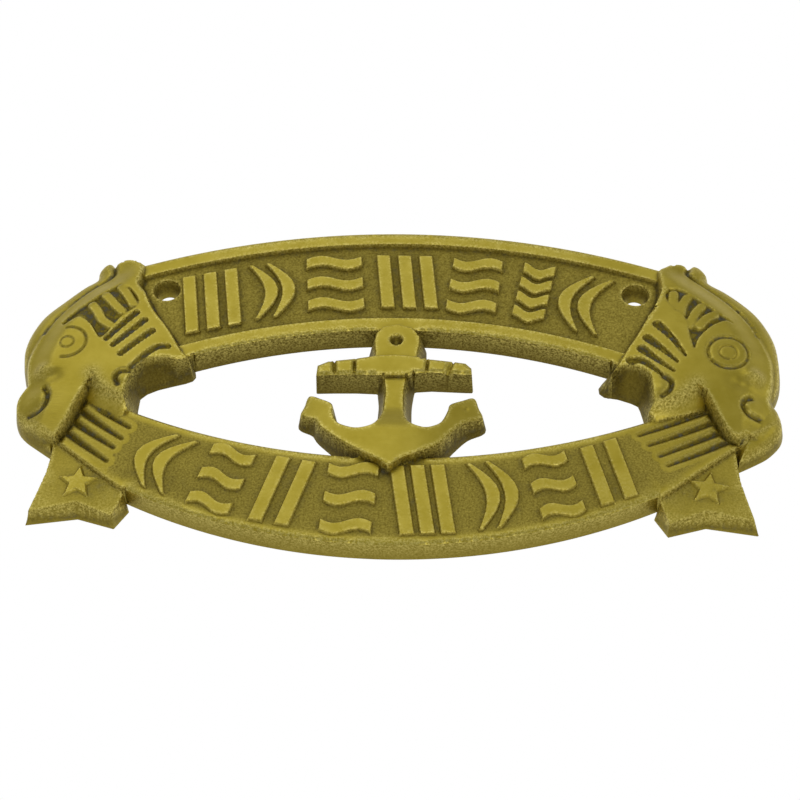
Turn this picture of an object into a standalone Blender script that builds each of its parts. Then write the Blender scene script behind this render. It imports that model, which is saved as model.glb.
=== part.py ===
"""Boat sign: a pointed-oval ring of cast brass with an anchor in its window.

The sign is one casting. Two curved bands make the ring, a fish head swallows their ends on each
side, a forked ribbon tail hangs below each head, and an anchor bridges the window.

Drawing plane: x runs across the sign and z up, both from the datum, which is level with the
middle of the anchor. Depths are measured from the wall towards the viewer, who stands at -Y.
The world origin is on the flat back, MOUNT_RISE above the datum.
"""
import math

import bmesh
import bpy

# Depths from the wall
PLATE_THICK = 0.0080
FIELD_DEPTH = 0.0013
LOW_BAND_THICK = 0.0072
LOW_STROKE_RISE = 0.0009
HEAD_THICK = 0.0122
LEDGE_THICK = 0.0060
TAIL_THICK = 0.0058
STAR_RISE = 0.0008
STOCK_THICK = 0.0095
CROWN_THICK = 0.0108
TIP_DROP = 0.0048
LOBE_THICK = 0.0084

# The rounded edges of the faces
BAND_ARRIS = 0.0004
LEDGE_ARRIS = 0.0011
STOCK_ARRIS = 0.0007

# The ring
WINDOW_TOP = 0.0278
WINDOW_HEIGHT = 0.0489
TOP_BAND = 0.0403
LOW_BAND = 0.0309
TOP_RADIUS = 0.227
WINDOW_TOP_RADIUS = 0.180
WINDOW_LOW_RADIUS = 0.197
LOW_RADIUS = 0.172
RIM_WIDTH = 0.0046

# The heads, the tails and the anchor
HEAD_SPACING = 0.200
EYE_RISE = 0.0186
HEAD_HEIGHT = 0.0757
TAIL_LENGTH = 0.0240
STAR_RADIUS = 0.0058
STAR_WAIST = 0.46
STAR_POINTS = 5
ANCHOR_SPAN = 0.0560
SHANK_WIDTH = 0.0090
STOCK_LENGTH = 0.0468
NOTCH_RADIUS = 0.0009
DIMPLE_RADIUS = 0.0020
DIMPLE_DEPTH = 0.0026
DIMPLE_BOWL_RADIUS = 0.0014
DIMPLE_BOWL_DEPTH = 0.00221

# The screw holes
HOLE_SPACING = 0.1456
HOLE_FROM_EDGE = 0.0122
HOLE_RADIUS = 0.0030
HOLE_MOUTH_RADIUS = 0.0043
HOLE_MOUTH_DEPTH = 0.00335

# The rows of strokes
STROKE_WIDTH = 0.0042
STROKE_MARGIN_TOP = 0.0048
STROKE_MARGIN_LOW = 0.0032
STROKE_END = 0.0050
LOW_STROKE_END = 0.0075
WAVE_SWING = 0.0012
WAVE_HALF_SHARE = 0.45
BLUNT_END = 0.3
STROKE_STEPS = 6

# Where the origin sits, and the stock that is planed off the back
MOUNT_RISE = 0.00825
BACK_SPARE = 0.0020
BACK_STEP = 0.00015

# How deep raised work is rooted, how far cutters stand proud, and what counts as one point
ROOT = 0.0010
RELIEF_SPARE = 0.0040
SAME_POINT = 0.00001
WELD = 0.000004

WINDOW_LOW = WINDOW_TOP - WINDOW_HEIGHT
TOP_EDGE = WINDOW_TOP + TOP_BAND
LOW_EDGE = WINDOW_LOW - LOW_BAND
HEAD_X = HEAD_SPACING / 2
FIELD_LEVEL = PLATE_THICK - FIELD_DEPTH

# The free forms are drawn in millimetres at these sizes, then scaled to the sizes above
DRAWN_HEAD_HEIGHT = 75.7
DRAWN_EYE = (100.0, 18.6)
DRAWN_SPAN = 56.0
DRAWN_STOCK = 46.8
DRAWN_WINDOW = 48.9
DRAWN_WINDOW_LOW = -21.1
DRAWN_TAIL_LENGTH = 24.0
DRAWN_TAIL_TOP = (100.0, -18.0)

HEAD_SCALE = HEAD_HEIGHT / DRAWN_HEAD_HEIGHT
ANCHOR_SCALE = ANCHOR_SPAN / DRAWN_SPAN
TAIL_SCALE = TAIL_LENGTH / DRAWN_TAIL_LENGTH


# Helpers

def clear_scene():
    """Remove what the start-up file holds."""
    for obj in list(bpy.data.objects):
        bpy.data.objects.remove(obj, do_unlink=True)


def link(obj):
    """Put an object in the sign's collection."""
    sign_collection.objects.link(obj)
    return obj


def adopt(name):
    """Take the primitive just added into the sign's collection."""
    obj = bpy.context.active_object
    obj.name = name
    for collection in list(obj.users_collection):
        collection.objects.unlink(obj)
    return link(obj)


def mesh_object(name, bm):
    """Turn a bmesh into an object of the sign."""
    mesh = bpy.data.meshes.new(name)
    bm.to_mesh(mesh)
    bm.free()
    return link(bpy.data.objects.new(name, mesh))


def behind():
    """A depth behind the wall, new each time, so that no two backs share a plane."""
    backs.append(BACK_SPARE + BACK_STEP * len(backs))
    return -backs[-1]


def slab(name, outlines, low, high, arris=0.0, steps=0):
    """Extrude closed outlines of (x, z) between two depths, with an arris that may be rounded."""
    curve = bpy.data.curves.new(name, "CURVE")
    curve.dimensions = "2D"
    curve.fill_mode = "BOTH"
    curve.extrude = (high - low) / 2 - arris
    curve.bevel_depth = arris
    curve.bevel_resolution = steps
    curve.offset = -arris
    for outline in outlines:
        spline = curve.splines.new("POLY")
        spline.points.add(len(outline) - 1)
        for point, (x, z) in zip(spline.points, outline):
            point.co = (x, z, 0.0, 1.0)
        spline.use_cyclic_u = True
    drawn = link(bpy.data.objects.new(name, curve))
    drawn.rotation_euler.x = math.pi / 2
    drawn.location = (0.0, -(low + high) / 2, -MOUNT_RISE)
    return curve_to_mesh(drawn)


def tube(name, points, radius):
    """A round tube with closed ends through (x, z, depth) points."""
    curve = bpy.data.curves.new(name, "CURVE")
    curve.dimensions = "3D"
    curve.bevel_depth = radius
    curve.bevel_resolution = 1
    curve.use_fill_caps = True
    spline = curve.splines.new("POLY")
    spline.points.add(len(points) - 1)
    for point, (x, z, depth) in zip(spline.points, points):
        point.co = (x, -depth, z, 1.0)
    drawn = link(bpy.data.objects.new(name, curve))
    drawn.location.z = -MOUNT_RISE
    return curve_to_mesh(drawn)


def curve_to_mesh(drawn):
    """Make a curve a welded mesh in the same place."""
    bpy.context.view_layer.update()
    depsgraph = bpy.context.evaluated_depsgraph_get()
    mesh = bpy.data.meshes.new_from_object(drawn.evaluated_get(depsgraph))
    bm = bmesh.new()
    bm.from_mesh(mesh)
    bmesh.ops.remove_doubles(bm, verts=bm.verts, dist=SAME_POINT)
    bm.normal_update()
    bmesh.ops.recalc_face_normals(bm, faces=bm.faces)
    bm.to_mesh(mesh)
    bm.free()
    solid = link(bpy.data.objects.new(drawn.name + "_solid", mesh))
    solid.matrix_world = drawn.matrix_world
    bpy.data.objects.remove(drawn, do_unlink=True)
    return solid


def loft(name, foot, face, low, high):
    """A slab whose wall leans from one outline at the wall to another at the face.

    The normals are set before the caps are cut into triangles, because a concave cap without
    one is cut outside its own outline and folds over.
    """
    bm = bmesh.new()
    back = [bm.verts.new((x, -low, z - MOUNT_RISE)) for x, z in foot]
    front = [bm.verts.new((x, -high, z - MOUNT_RISE)) for x, z in face]
    bm.faces.new(back)
    bm.faces.new(front)
    for i in range(len(back)):
        j = (i + 1) % len(back)
        bm.faces.new((back[i], back[j], front[j], front[i]))
    bm.normal_update()
    bmesh.ops.triangulate(bm, faces=bm.faces)
    bmesh.ops.recalc_face_normals(bm, faces=bm.faces)
    return mesh_object(name, bm)


def ball(name, centre, depth, half_length, half_width, half_depth, angle=0.0, segments=12, rings=8):
    """A stretched sphere, long along a line that leans by angle in the drawing plane."""
    bm = bmesh.new()
    bmesh.ops.create_uvsphere(bm, u_segments=segments, v_segments=rings, radius=1.0)
    for vert in bm.verts:
        along, across, out = vert.co.x * half_length, vert.co.y * half_width, vert.co.z * half_depth
        x = centre[0] + along * math.cos(angle) - across * math.sin(angle)
        z = centre[1] + along * math.sin(angle) + across * math.cos(angle)
        vert.co = (x, -(depth + out), z - MOUNT_RISE)
    bm.normal_update()
    bmesh.ops.recalc_face_normals(bm, faces=bm.faces)
    return mesh_object(name, bm)


def ring_tool(name, centre, radius, thickness, depth, segments=28):
    """A doughnut that cuts a round groove."""
    bpy.ops.mesh.primitive_torus_add(
        major_segments=segments, minor_segments=4, major_radius=radius, minor_radius=thickness,
        location=(centre[0], -depth, centre[1] - MOUNT_RISE), rotation=(math.pi / 2, 0.0, 0.0))
    return adopt(name)


def merge(name, objects):
    """Collect objects that don't touch each other into one object of several shells."""
    bm = bmesh.new()
    for obj in objects:
        obj.data.transform(obj.matrix_world)
        bm.from_mesh(obj.data)
        bpy.data.objects.remove(obj, do_unlink=True)
    return mesh_object(name, bm)


def combine(base, tool, operation):
    """Join a tool to the base, cut it away or keep what they share.

    This uses the manifold solver, because the exact one leaves open edges from the anchor's
    lobe on: there, in the carving of the heads, in the flutes and in the bores.
    """
    modifier = base.modifiers.new(operation.lower(), "BOOLEAN")
    modifier.operation = operation
    modifier.solver = "MANIFOLD"
    modifier.object = tool
    bpy.context.view_layer.update()
    depsgraph = bpy.context.evaluated_depsgraph_get()
    mesh = bpy.data.meshes.new_from_object(base.evaluated_get(depsgraph))
    base.modifiers.clear()
    base.data = mesh
    bpy.data.objects.remove(tool, do_unlink=True)
    return base


def weld(mesh):
    """Close up the slivers, far below anything visible, that the joins leave."""
    bm = bmesh.new()
    bm.from_mesh(mesh)
    bmesh.ops.remove_doubles(bm, verts=bm.verts, dist=WELD)
    bmesh.ops.dissolve_degenerate(bm, edges=bm.edges, dist=WELD)
    bmesh.ops.triangulate(bm, faces=bm.faces)
    bm.to_mesh(mesh)
    bm.free()


def smooth_line(points, per_span=4):
    """Points along a smooth curve through the given points (Catmull-Rom)."""
    line = []
    for i in range(len(points) - 1):
        before = points[max(i - 1, 0)]
        start, end = points[i], points[i + 1]
        after = points[min(i + 2, len(points) - 1)]
        for step in range(per_span):
            t = step / per_span
            line.append(tuple(
                0.5 * (2 * b + (c - a) * t + (2 * a - 5 * b + 4 * c - d) * t ** 2
                       + (3 * b - a - 3 * c + d) * t ** 3)
                for a, b, c, d in zip(before, start, end, after)))
    line.append(tuple(points[-1]))
    return line


def chain(*edges):
    """One closed outline from edges that share their end points."""
    outline = []
    for edge in edges:
        for point in edge:
            if not outline or math.dist(point, outline[-1]) > SAME_POINT:
                outline.append(point)
    if math.dist(outline[0], outline[-1]) < SAME_POINT:
        outline.pop()
    return outline


# The ring

def sag(x, radius):
    """How far an arc has left its apex at x."""
    return radius - math.sqrt(radius ** 2 - x ** 2)


def top_outer(x):
    return TOP_EDGE - sag(x, TOP_RADIUS)


def window_top(x):
    return WINDOW_TOP - sag(x, WINDOW_TOP_RADIUS)


def window_low(x):
    return WINDOW_LOW + sag(x, WINDOW_LOW_RADIUS)


def low_outer(x):
    return LOW_EDGE + sag(x, LOW_RADIUS)


def arc_points(height_at, start, end, steps, inset=0.0):
    """Points along one edge of a band, moved up by inset."""
    xs = [start + (end - start) * i / steps for i in range(steps + 1)]
    return [(x, height_at(x) + inset) for x in xs]


def band_outline(upper, lower, upper_end, lower_end, steps=28, upper_inset=0.0, lower_inset=0.0):
    """A closed outline between two arcs, each with its own half length."""
    return (arc_points(upper, -upper_end, upper_end, steps, upper_inset)
            + arc_points(lower, lower_end, -lower_end, steps, lower_inset))


# How far short of the eye each edge of a band ends inside the head, in drawn millimetres
TOP_EDGE_END = 16.0
FIELD_END = 17.5
WINDOW_TOP_END = 30.0
WINDOW_LOW_END = 13.0
TAPER_END = 1.0
TAPER_START = 20.0
TAPER_SLOPE = 0.82


def inside_head(short):
    """An x inside the right head, a drawn distance short of the eye."""
    return HEAD_X - short * HEAD_SCALE


def top_band():
    """The upper band with a raised rim along both edges."""
    outline = band_outline(top_outer, window_top, inside_head(TOP_EDGE_END),
                           inside_head(WINDOW_TOP_END))
    band = slab("sign_casting", [outline], behind(), PLATE_THICK, arris=BAND_ARRIS)
    sunk = band_outline(top_outer, window_top, inside_head(FIELD_END), inside_head(WINDOW_TOP_END),
                        upper_inset=-RIM_WIDTH, lower_inset=RIM_WIDTH)
    field = slab("field", [sunk], FIELD_LEVEL, PLATE_THICK + RELIEF_SPARE)
    return combine(band, field, "DIFFERENCE")


def low_band():
    """The lower band, whose lower edge tapers straight up into the mouths."""
    reach = inside_head(TAPER_END)
    bend = inside_head(TAPER_START)
    window_end = inside_head(WINDOW_LOW_END)
    tip = low_outer(bend) + TAPER_SLOPE * (reach - bend)
    outline = (arc_points(window_low, -window_end, window_end, 28) + [(reach, tip)]
               + arc_points(low_outer, bend, -bend, 28) + [(-reach, tip)])
    return slab("low_band", [outline], behind(), LOW_BAND_THICK, arris=BAND_ARRIS)


# The rows of strokes, which stand where a legend would

def bars(width, height, count, lean):
    """Slanted bars side by side, which never touch."""
    pitch = (width - STROKE_WIDTH) / max(count - 1, 1)
    shapes = []
    for i in range(count):
        middle = -pitch * (count - 1) / 2 + pitch * i
        half, shift = STROKE_WIDTH / 2, lean * height / 2
        shapes.append([(middle - half - shift, -height / 2), (middle + half - shift, -height / 2),
                       (middle + half + shift, height / 2), (middle - half + shift, height / 2)])
    return shapes


def crescents(width, height, count, bulge):
    """Nested bows, narrow and blunt at both ends, that curve to one side."""
    pitch = (width - STROKE_WIDTH) / count
    shapes = []
    for i in range(count):
        middle = -pitch * (count - 1) / 2 + pitch * i
        outer, inner = [], []
        for step in range(STROKE_STEPS + 1):
            v = -height / 2 + height * step / STROKE_STEPS
            bow = math.cos(math.pi * v / height)
            spine = middle + bulge * (bow - 0.5) * pitch
            half = STROKE_WIDTH / 2 * (BLUNT_END + (1 - BLUNT_END) * bow)
            outer.append((spine + half, v))
            inner.append((spine - half, v))
        shapes.append(outer + inner[::-1])
    return shapes


def waves(width, height, count, phase):
    """Rippled strokes one above the other."""
    pitch = (height - STROKE_WIDTH) / max(count - 1, 1)
    shapes = []
    for i in range(count):
        level = -pitch * (count - 1) / 2 + pitch * i
        upper, lower = [], []
        for step in range(STROKE_STEPS + 1):
            u = -width / 2 + width * step / STROKE_STEPS
            turn = 2 * math.pi * step / STROKE_STEPS + phase
            ripple = level + WAVE_SWING * math.sin(turn)
            upper.append((u, ripple + WAVE_HALF_SHARE * STROKE_WIDTH))
            lower.append((u, ripple - WAVE_HALF_SHARE * STROKE_WIDTH))
        shapes.append(lower + upper[::-1])
    return shapes


# Each group: the share of the half row where it stands, its width, and how it is cut
TOP_ROW = ((-0.86, 0.0175, bars, 3, 0.12), (-0.59, 0.0150, crescents, 2, 1.0),
           (-0.30, 0.0175, waves, 3, 0.0), (0.03, 0.0175, bars, 3, -0.12),
           (0.34, 0.0155, waves, 3, 3.1), (0.61, 0.0100, waves, 4, 1.6),
           (0.84, 0.0165, crescents, 2, -1.0))
LOW_ROW = ((-0.93, 0.0165, crescents, 2, -1.0), (-0.68, 0.0135, waves, 3, 0.0),
           (-0.43, 0.0120, bars, 2, 0.10), (-0.16, 0.0150, waves, 3, 3.1),
           (0.13, 0.0160, bars, 3, -0.10), (0.41, 0.0150, crescents, 2, 1.0),
           (0.65, 0.0130, waves, 3, 0.0), (0.87, 0.0115, bars, 2, 0.10))


def row_of_strokes(name, row, half_row, upper, lower, turn_radius, low, high):
    """Stand each group square to the band's curve, between its two edges."""
    pieces = []
    for share, width, cut, count, detail in row:
        x = share * half_row
        lean = math.asin(x / turn_radius)
        height = upper(x) - lower(x)
        middle = (upper(x) + lower(x)) / 2
        for shape in cut(width, height * math.cos(lean), count, detail):
            outline = [(x + u * math.cos(lean) + v * math.sin(lean),
                        middle - u * math.sin(lean) + v * math.cos(lean)) for u, v in shape]
            pieces.append(slab(name, [outline], low, high))
    return merge(name, pieces)


def strokes():
    """Both rows."""
    top = row_of_strokes(
        "top_strokes", TOP_ROW, HOLE_SPACING / 2 - STROKE_END,
        lambda x: top_outer(x) - RIM_WIDTH - STROKE_MARGIN_TOP,
        lambda x: window_top(x) + RIM_WIDTH + STROKE_MARGIN_TOP,
        TOP_RADIUS, FIELD_LEVEL - ROOT, PLATE_THICK)
    low = row_of_strokes(
        "low_strokes", LOW_ROW, inside_head(TAPER_START) - LOW_STROKE_END,
        lambda x: window_low(x) - STROKE_MARGIN_LOW,
        lambda x: low_outer(x) + STROKE_MARGIN_LOW,
        -LOW_RADIUS, LOW_BAND_THICK - ROOT, LOW_BAND_THICK + LOW_STROKE_RISE)
    return top, low


# The heads

def head_point(x, z, side):
    """A point of the head's drawing, scaled about the eye."""
    return (side * (HEAD_X + (x - DRAWN_EYE[0]) * HEAD_SCALE),
            EYE_RISE + (z - DRAWN_EYE[1]) * HEAD_SCALE)


def head_line(points, side, per_span=3):
    """A smooth line through points of the head's drawing."""
    return [head_point(x, z, side) for x, z in smooth_line(points, per_span)]


DOME_CENTRE = (84.0, 17.0)
DOME_HALF_WIDTH = 44.0
DOME_HALF_HEIGHT = 50.0
DOME_SINK = HEAD_THICK * 0.28
FIN_EDGE = ((81.0, 53.0), (80.9, 45.0), (75.8, 32.0), (69.5, 20.5), (64.0, 12.5))
SCOOP_EDGE = ((64.0, 12.5), (69.0, 11.8), (76.0, 9.0), (78.3, 5.5), (79.3, -2.5))
MOUTH_EDGE = ((79.3, -2.5), (84.5, -0.4), (88.0, 2.0), (90.5, 5.0), (93.0, 0.5), (95.5, -7.0),
              (99.0, -15.5))
LIP_EDGE = ((99.0, -15.5), (104.5, -13.5), (109.0, -9.5), (111.0, -4.0), (110.0, 1.5))
BROW_EDGE = ((110.0, 1.5), (111.8, 8.0), (112.2, 16.0), (110.0, 24.5), (106.5, 31.0),
             (102.0, 37.5), (96.5, 43.8), (91.5, 48.8), (89.8, 53.5), (87.0, 56.0), (83.8, 55.2),
             (81.0, 53.0))

BACK_EDGE = ((81.0, 53.0), (84.5, 55.5), (87.2, 56.3), (90.0, 55.2), (92.8, 55.0), (95.0, 52.0),
             (96.0, 48.9), (100.5, 46.9), (106.0, 41.7), (110.5, 36.3), (113.5, 30.3),
             (115.3, 24.0), (115.6, 18.0), (114.6, 11.5), (112.0, 4.2))
LIP_BACK = ((112.0, 4.2), (114.0, 1.0), (114.7, -3.5), (113.8, -8.0), (110.5, -12.0),
            (106.0, -15.4), (101.0, -18.8))
TAIL_ROOT = ((90.0, -22.0), (82.0, -18.0))
WINDOW_EDGE = ((77.0, -6.0), (77.6, 1.0), (75.8, 5.2), (71.5, 7.5), (66.5, 9.0), (62.5, 11.2),
               (61.6, 14.5), (64.0, 17.5))
NAPE = ((76.0, 40.0),)

GILLS = (((88.3, 19.0), (79.0, 30.4)), ((85.5, 16.3), (75.9, 25.6)),
         ((83.4, 12.5), (73.7, 21.4)), ((79.6, 8.8), (70.0, 16.0)))
RIBS = (((87.0, 42.5), (82.0, 34.5)), ((91.5, 39.5), (85.5, 30.5)),
        ((96.0, 36.0), (88.6, 26.0)), ((99.5, 31.0), (91.0, 22.0)))
FLUTES = (((92.0, -1.2), (78.0, -11.5)), ((94.5, -4.6), (79.5, -16.0)),
          ((96.0, -8.8), (80.5, -20.0)), ((98.5, -12.6), (82.0, -23.6)))
GROOVE = ((89.9, 54.0), (89.6, 51.2), (91.7, 48.6), (95.4, 45.3), (98.8, 41.9), (102.0, 37.9),
          (105.0, 33.8), (107.6, 29.6), (109.0, 25.5))

# Each ring: its centre, its radius and how many sides it has
RINGS = ((DRAWN_EYE, 6.2, 22), (DRAWN_EYE, 2.5, 10), ((106.6, -3.0), 3.6, 14),
         ((80.3, 4.8), 2.9, 10))

# Widths and depths of the carving; a slot runs a little past its drawn ends to its points
GILL_WIDTH = 0.0020
RIB_WIDTH = 0.0024
FLUTE_WIDTH = 0.0021
CARVING_DEPTH = 0.0013
FLUTE_DEPTH = 0.0011
RING_GROOVE = 0.0008
LEDGE_GROOVE = 0.0011
LEDGE_GROOVE_RISE = 0.0014
SLOT_OVERRUN = 1.06


def head_back(side):
    """The low, wide shape behind the face, which shows as a ledge round the brow and the lip."""
    outline = chain(head_line(BACK_EDGE, side, 2), head_line(LIP_BACK, side, 2),
                    [head_point(x, z, side) for x, z in TAIL_ROOT],
                    head_line(WINDOW_EDGE, side, 2), [head_point(x, z, side) for x, z in NAPE])
    return slab("head_back", [outline], behind(), LEDGE_THICK, arris=LEDGE_ARRIS)


def head_face(side):
    """The face: its outline cut from a slab and rounded over by a stretched sphere."""
    edges = (FIN_EDGE, SCOOP_EDGE, MOUTH_EDGE, LIP_EDGE, BROW_EDGE)
    outline = chain(*(head_line(edge, side, 2) for edge in edges))
    face = slab("head_face", [outline], behind(), HEAD_THICK + RELIEF_SPARE)
    dome = ball("dome", head_point(*DOME_CENTRE, side), DOME_SINK, DOME_HALF_WIDTH * HEAD_SCALE,
                DOME_HALF_HEIGHT * HEAD_SCALE, HEAD_THICK - DOME_SINK, segments=32, rings=18)
    return combine(face, dome, "INTERSECT")


def face_level(x, z):
    """How far the domed face stands from the wall at a point of the drawing."""
    across = (x - DOME_CENTRE[0]) / DOME_HALF_WIDTH
    along = (z - DOME_CENTRE[1]) / DOME_HALF_HEIGHT
    return DOME_SINK + (HEAD_THICK - DOME_SINK) * math.sqrt(1 - across ** 2 - along ** 2)


def slot(name, ends, side, width, depth, level):
    """A long hollow, pointed at both ends, between two drawn points."""
    (x0, z0), (x1, z1) = (head_point(x, z, side) for x, z in ends)
    angle = math.atan2(z1 - z0, x1 - x0)
    half_length = SLOT_OVERRUN * math.hypot(x1 - x0, z1 - z0) / 2
    middle = ((x0 + x1) / 2, (z0 + z1) / 2)
    return ball(name, middle, level, half_length, width / 2, depth, angle, segments=8, rings=6)


def carve_head(casting, side):
    """Cut the gills, ribs, eye, scrolls and the groove inside the ledge."""
    hollows = []
    for slots, width in ((GILLS, GILL_WIDTH), (RIBS, RIB_WIDTH)):
        for ends in slots:
            middle = [(a + b) / 2 for a, b in zip(*ends)]
            hollows.append(slot("slot", ends, side, width, CARVING_DEPTH, face_level(*middle)))
    for (x, z), radius, segments in RINGS:
        hollows.append(ring_tool("ring", head_point(x, z, side), radius * HEAD_SCALE, RING_GROOVE,
                                 face_level(x, z), segments))
    level = LEDGE_THICK + LEDGE_GROOVE_RISE
    groove = [head_point(x, z, side) + (level,) for x, z in smooth_line(GROOVE, 2)]
    hollows.append(tube("groove", groove, LEDGE_GROOVE))
    return combine(casting, merge("head_hollows", hollows), "DIFFERENCE")


def carve_flutes(casting, side):
    """Cut the flutes where the lower band comes out of a mouth."""
    flutes = [slot("flute", ends, side, FLUTE_WIDTH, FLUTE_DEPTH, LOW_BAND_THICK)
              for ends in FLUTES]
    return combine(casting, merge("flutes", flutes), "DIFFERENCE")


# The tails

def tail_point(x, z, side):
    """A point of the tail's drawing, scaled from where it leaves the lip."""
    return (side * (HEAD_X + (x - DRAWN_TAIL_TOP[0]) * TAIL_SCALE),
            (z - DRAWN_TAIL_TOP[1]) * TAIL_SCALE + low_outer(HEAD_X))


TAIL_FACE = ((100.3, -14.0), (100.6, -23.0), (101.2, -27.5), (102.4, -32.5), (104.6, -41.2),
             (90.7, -37.8), (80.1, -42.6), (77.6, -34.5), (80.0, -26.0))
TAIL_FOOT = ((100.8, -14.0), (101.4, -23.0), (102.2, -28.0), (103.8, -33.0), (106.2, -42.0),
             (90.9, -39.9), (80.0, -43.2), (76.2, -37.0), (80.0, -26.0))
STAR_CENTRE = (91.3, -31.2)
STAR_LEAN = 0.05


def tail(side):
    """A swallowtail of ribbon below the head, with a raised star."""
    foot = [tail_point(x, z, side) for x, z in TAIL_FOOT]
    face = [tail_point(x, z, side) for x, z in TAIL_FACE]
    return loft("tail", foot, face, behind(), TAIL_THICK)


def star(side):
    """A star with one point up."""
    x, z = tail_point(*STAR_CENTRE, side)
    outline = []
    for i in range(2 * STAR_POINTS):
        radius = STAR_RADIUS * (1.0 if i % 2 == 0 else STAR_WAIST)
        angle = math.pi / 2 + math.pi * i / STAR_POINTS + side * STAR_LEAN
        outline.append((x + radius * math.cos(angle), z + radius * math.sin(angle)))
    return slab("star", [outline], TAIL_THICK - ROOT, TAIL_THICK + STAR_RISE)


# The anchor

def anchor_point(x, z):
    """A point of the anchor's drawing, stretched to its span and to the window's height."""
    return (x * ANCHOR_SCALE,
            WINDOW_LOW + (z - DRAWN_WINDOW_LOW) * WINDOW_HEIGHT / DRAWN_WINDOW)


def both_sides(points):
    """A closed outline from points of the right half, bottom to top."""
    return list(points) + [(-x, z) for x, z in reversed(points) if x > 0]


CROWN_FACE = ((0.0, -24.3), (4.5, -21.2), (11.0, -17.2), (21.5, -8.6), (27.0, -6.8), (24.8, 1.2),
              (17.0, -1.7), (15.4, -4.2), (15.4, -7.4), (12.6, -9.6), (9.0, -10.0), (5.5, -8.6))
CROWN_FOOT = ((0.0, -26.0), (8.0, -25.0), (17.5, -20.8), (24.2, -13.4), (28.0, -11.2), (26.0, 0.6),
              (17.2, -1.9), (15.0, -4.2), (15.0, -7.2), (12.4, -9.4), (9.2, -9.8), (5.8, -8.6))
LOBE = ((8.6, 17.0), (8.0, 22.0), (7.6, 25.0), (6.6, 27.6), (4.4, 29.6))
DIMPLE = (-0.4, 23.2)
STOCK_LOW = 10.4
STOCK_HIGH = 18.0

# The stock as shares of its half length and its rise: the fall of its top, and its blunt ends
STOCK_TOP = (-0.93, -0.6, -0.3, 0.0, 0.3, 0.6, 0.93)
STOCK_FALL = 0.35
STOCK_END_HIGH = 0.42
STOCK_END_LOW = 0.05

# The shank's foot, waist and head: how high, and its half width at the wall and at the face
SHANK = ((-14.0, 1.45, 1.35), (0.0, 1.15, 0.72), (13.4, 1.25, 0.90))

# Each notch: where it crosses the stock, and its slant
NOTCHES = ((-19.0, 0.25), (-12.5, 0.0), (9.3, 0.0), (16.2, -0.3))


def crown():
    """Arms and flukes, thick at the middle and falling away to the tips."""
    arms = loft("crown", both_sides([anchor_point(x, z) for x, z in CROWN_FOOT]),
                both_sides([anchor_point(x, z) for x, z in CROWN_FACE]),
                behind(), CROWN_THICK + RELIEF_SPARE)
    radius = (ANCHOR_SPAN ** 2 / 4 + TIP_DROP ** 2) / (2 * TIP_DROP)
    bpy.ops.mesh.primitive_cylinder_add(
        vertices=96, radius=radius, depth=2 * WINDOW_HEIGHT,
        location=(0.0, radius - CROWN_THICK, -MOUNT_RISE))
    return combine(arms, adopt("roll"), "INTERSECT")


def shank():
    """The bar between crown and stock, which widens into the crown."""
    half = SHANK_WIDTH / 2
    foot = both_sides([(at_wall * half, anchor_point(0.0, z)[1]) for z, at_wall, _ in SHANK])
    face = both_sides([(at_face * half, anchor_point(0.0, z)[1]) for z, _, at_face in SHANK])
    return loft("shank", foot, face, behind(), PLATE_THICK)


def lobe():
    """The eye at the head of the shank, run into the rim above."""
    outline = both_sides([anchor_point(x, z) for x, z in LOBE])
    return slab("lobe", [outline], behind(), LOBE_THICK, arris=BAND_ARRIS)


def stock():
    """The cross bar, deeper at the middle, with a notch or two near each end."""
    half = STOCK_LENGTH / 2
    low, high = anchor_point(0.0, STOCK_LOW)[1], anchor_point(0.0, STOCK_HIGH)[1]
    rise = high - low
    top = [(half * x, high - rise * STOCK_FALL * x ** 2) for x in STOCK_TOP]
    end_high, end_low = low + rise * STOCK_END_HIGH, low + rise * STOCK_END_LOW
    outline = top + [(half, end_high), (half, end_low), (0.0, low), (-half, end_low), (-half, end_high)]
    bar = slab("stock", [outline], behind(), STOCK_THICK, arris=STOCK_ARRIS)
    cuts = []
    for x, slant in NOTCHES:
        middle, shift = x * STOCK_LENGTH / DRAWN_STOCK, slant * rise / 2
        ends = [(middle - shift, low - rise, STOCK_THICK), (middle + shift, high + rise, STOCK_THICK)]
        cuts.append(tube("notch", ends, NOTCH_RADIUS))
    return combine(bar, merge("notches", cuts), "DIFFERENCE")


# The screw holes

def hole_centre(side):
    x = side * HOLE_SPACING / 2
    return x, top_outer(x) - HOLE_FROM_EDGE


def screw_holes(casting):
    """Two holes through the band, dished towards the viewer."""
    for side in (-1, 1):
        x, z = hole_centre(side)
        bore = turned("bore", x, z, ((0.0, -2 * BACK_SPARE), (HOLE_RADIUS, -2 * BACK_SPARE),
                                     (HOLE_RADIUS, FIELD_LEVEL - HOLE_MOUTH_DEPTH),
                                     (HOLE_MOUTH_RADIUS, FIELD_LEVEL),
                                     (HOLE_MOUTH_RADIUS, PLATE_THICK + RELIEF_SPARE),
                                     (0.0, PLATE_THICK + RELIEF_SPARE)))
        casting = combine(casting, bore, "DIFFERENCE")
    return casting


def turned(name, x, z, profile, segments=24):
    """Spin a profile of (radius, depth) about a line square to the wall."""
    bm = bmesh.new()
    verts = [bm.verts.new((radius, -depth, 0.0)) for radius, depth in profile]
    edges = [bm.edges.new(pair) for pair in zip(verts, verts[1:])]
    bmesh.ops.spin(bm, geom=verts + edges, cent=(0, 0, 0), axis=(0, 1, 0), angle=2 * math.pi,
                   steps=segments, use_merge=True)
    bmesh.ops.remove_doubles(bm, verts=bm.verts, dist=SAME_POINT)
    bmesh.ops.translate(bm, verts=bm.verts, vec=(x, 0.0, z - MOUNT_RISE))
    bm.normal_update()
    bmesh.ops.recalc_face_normals(bm, faces=bm.faces)
    return mesh_object(name, bm)


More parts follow.
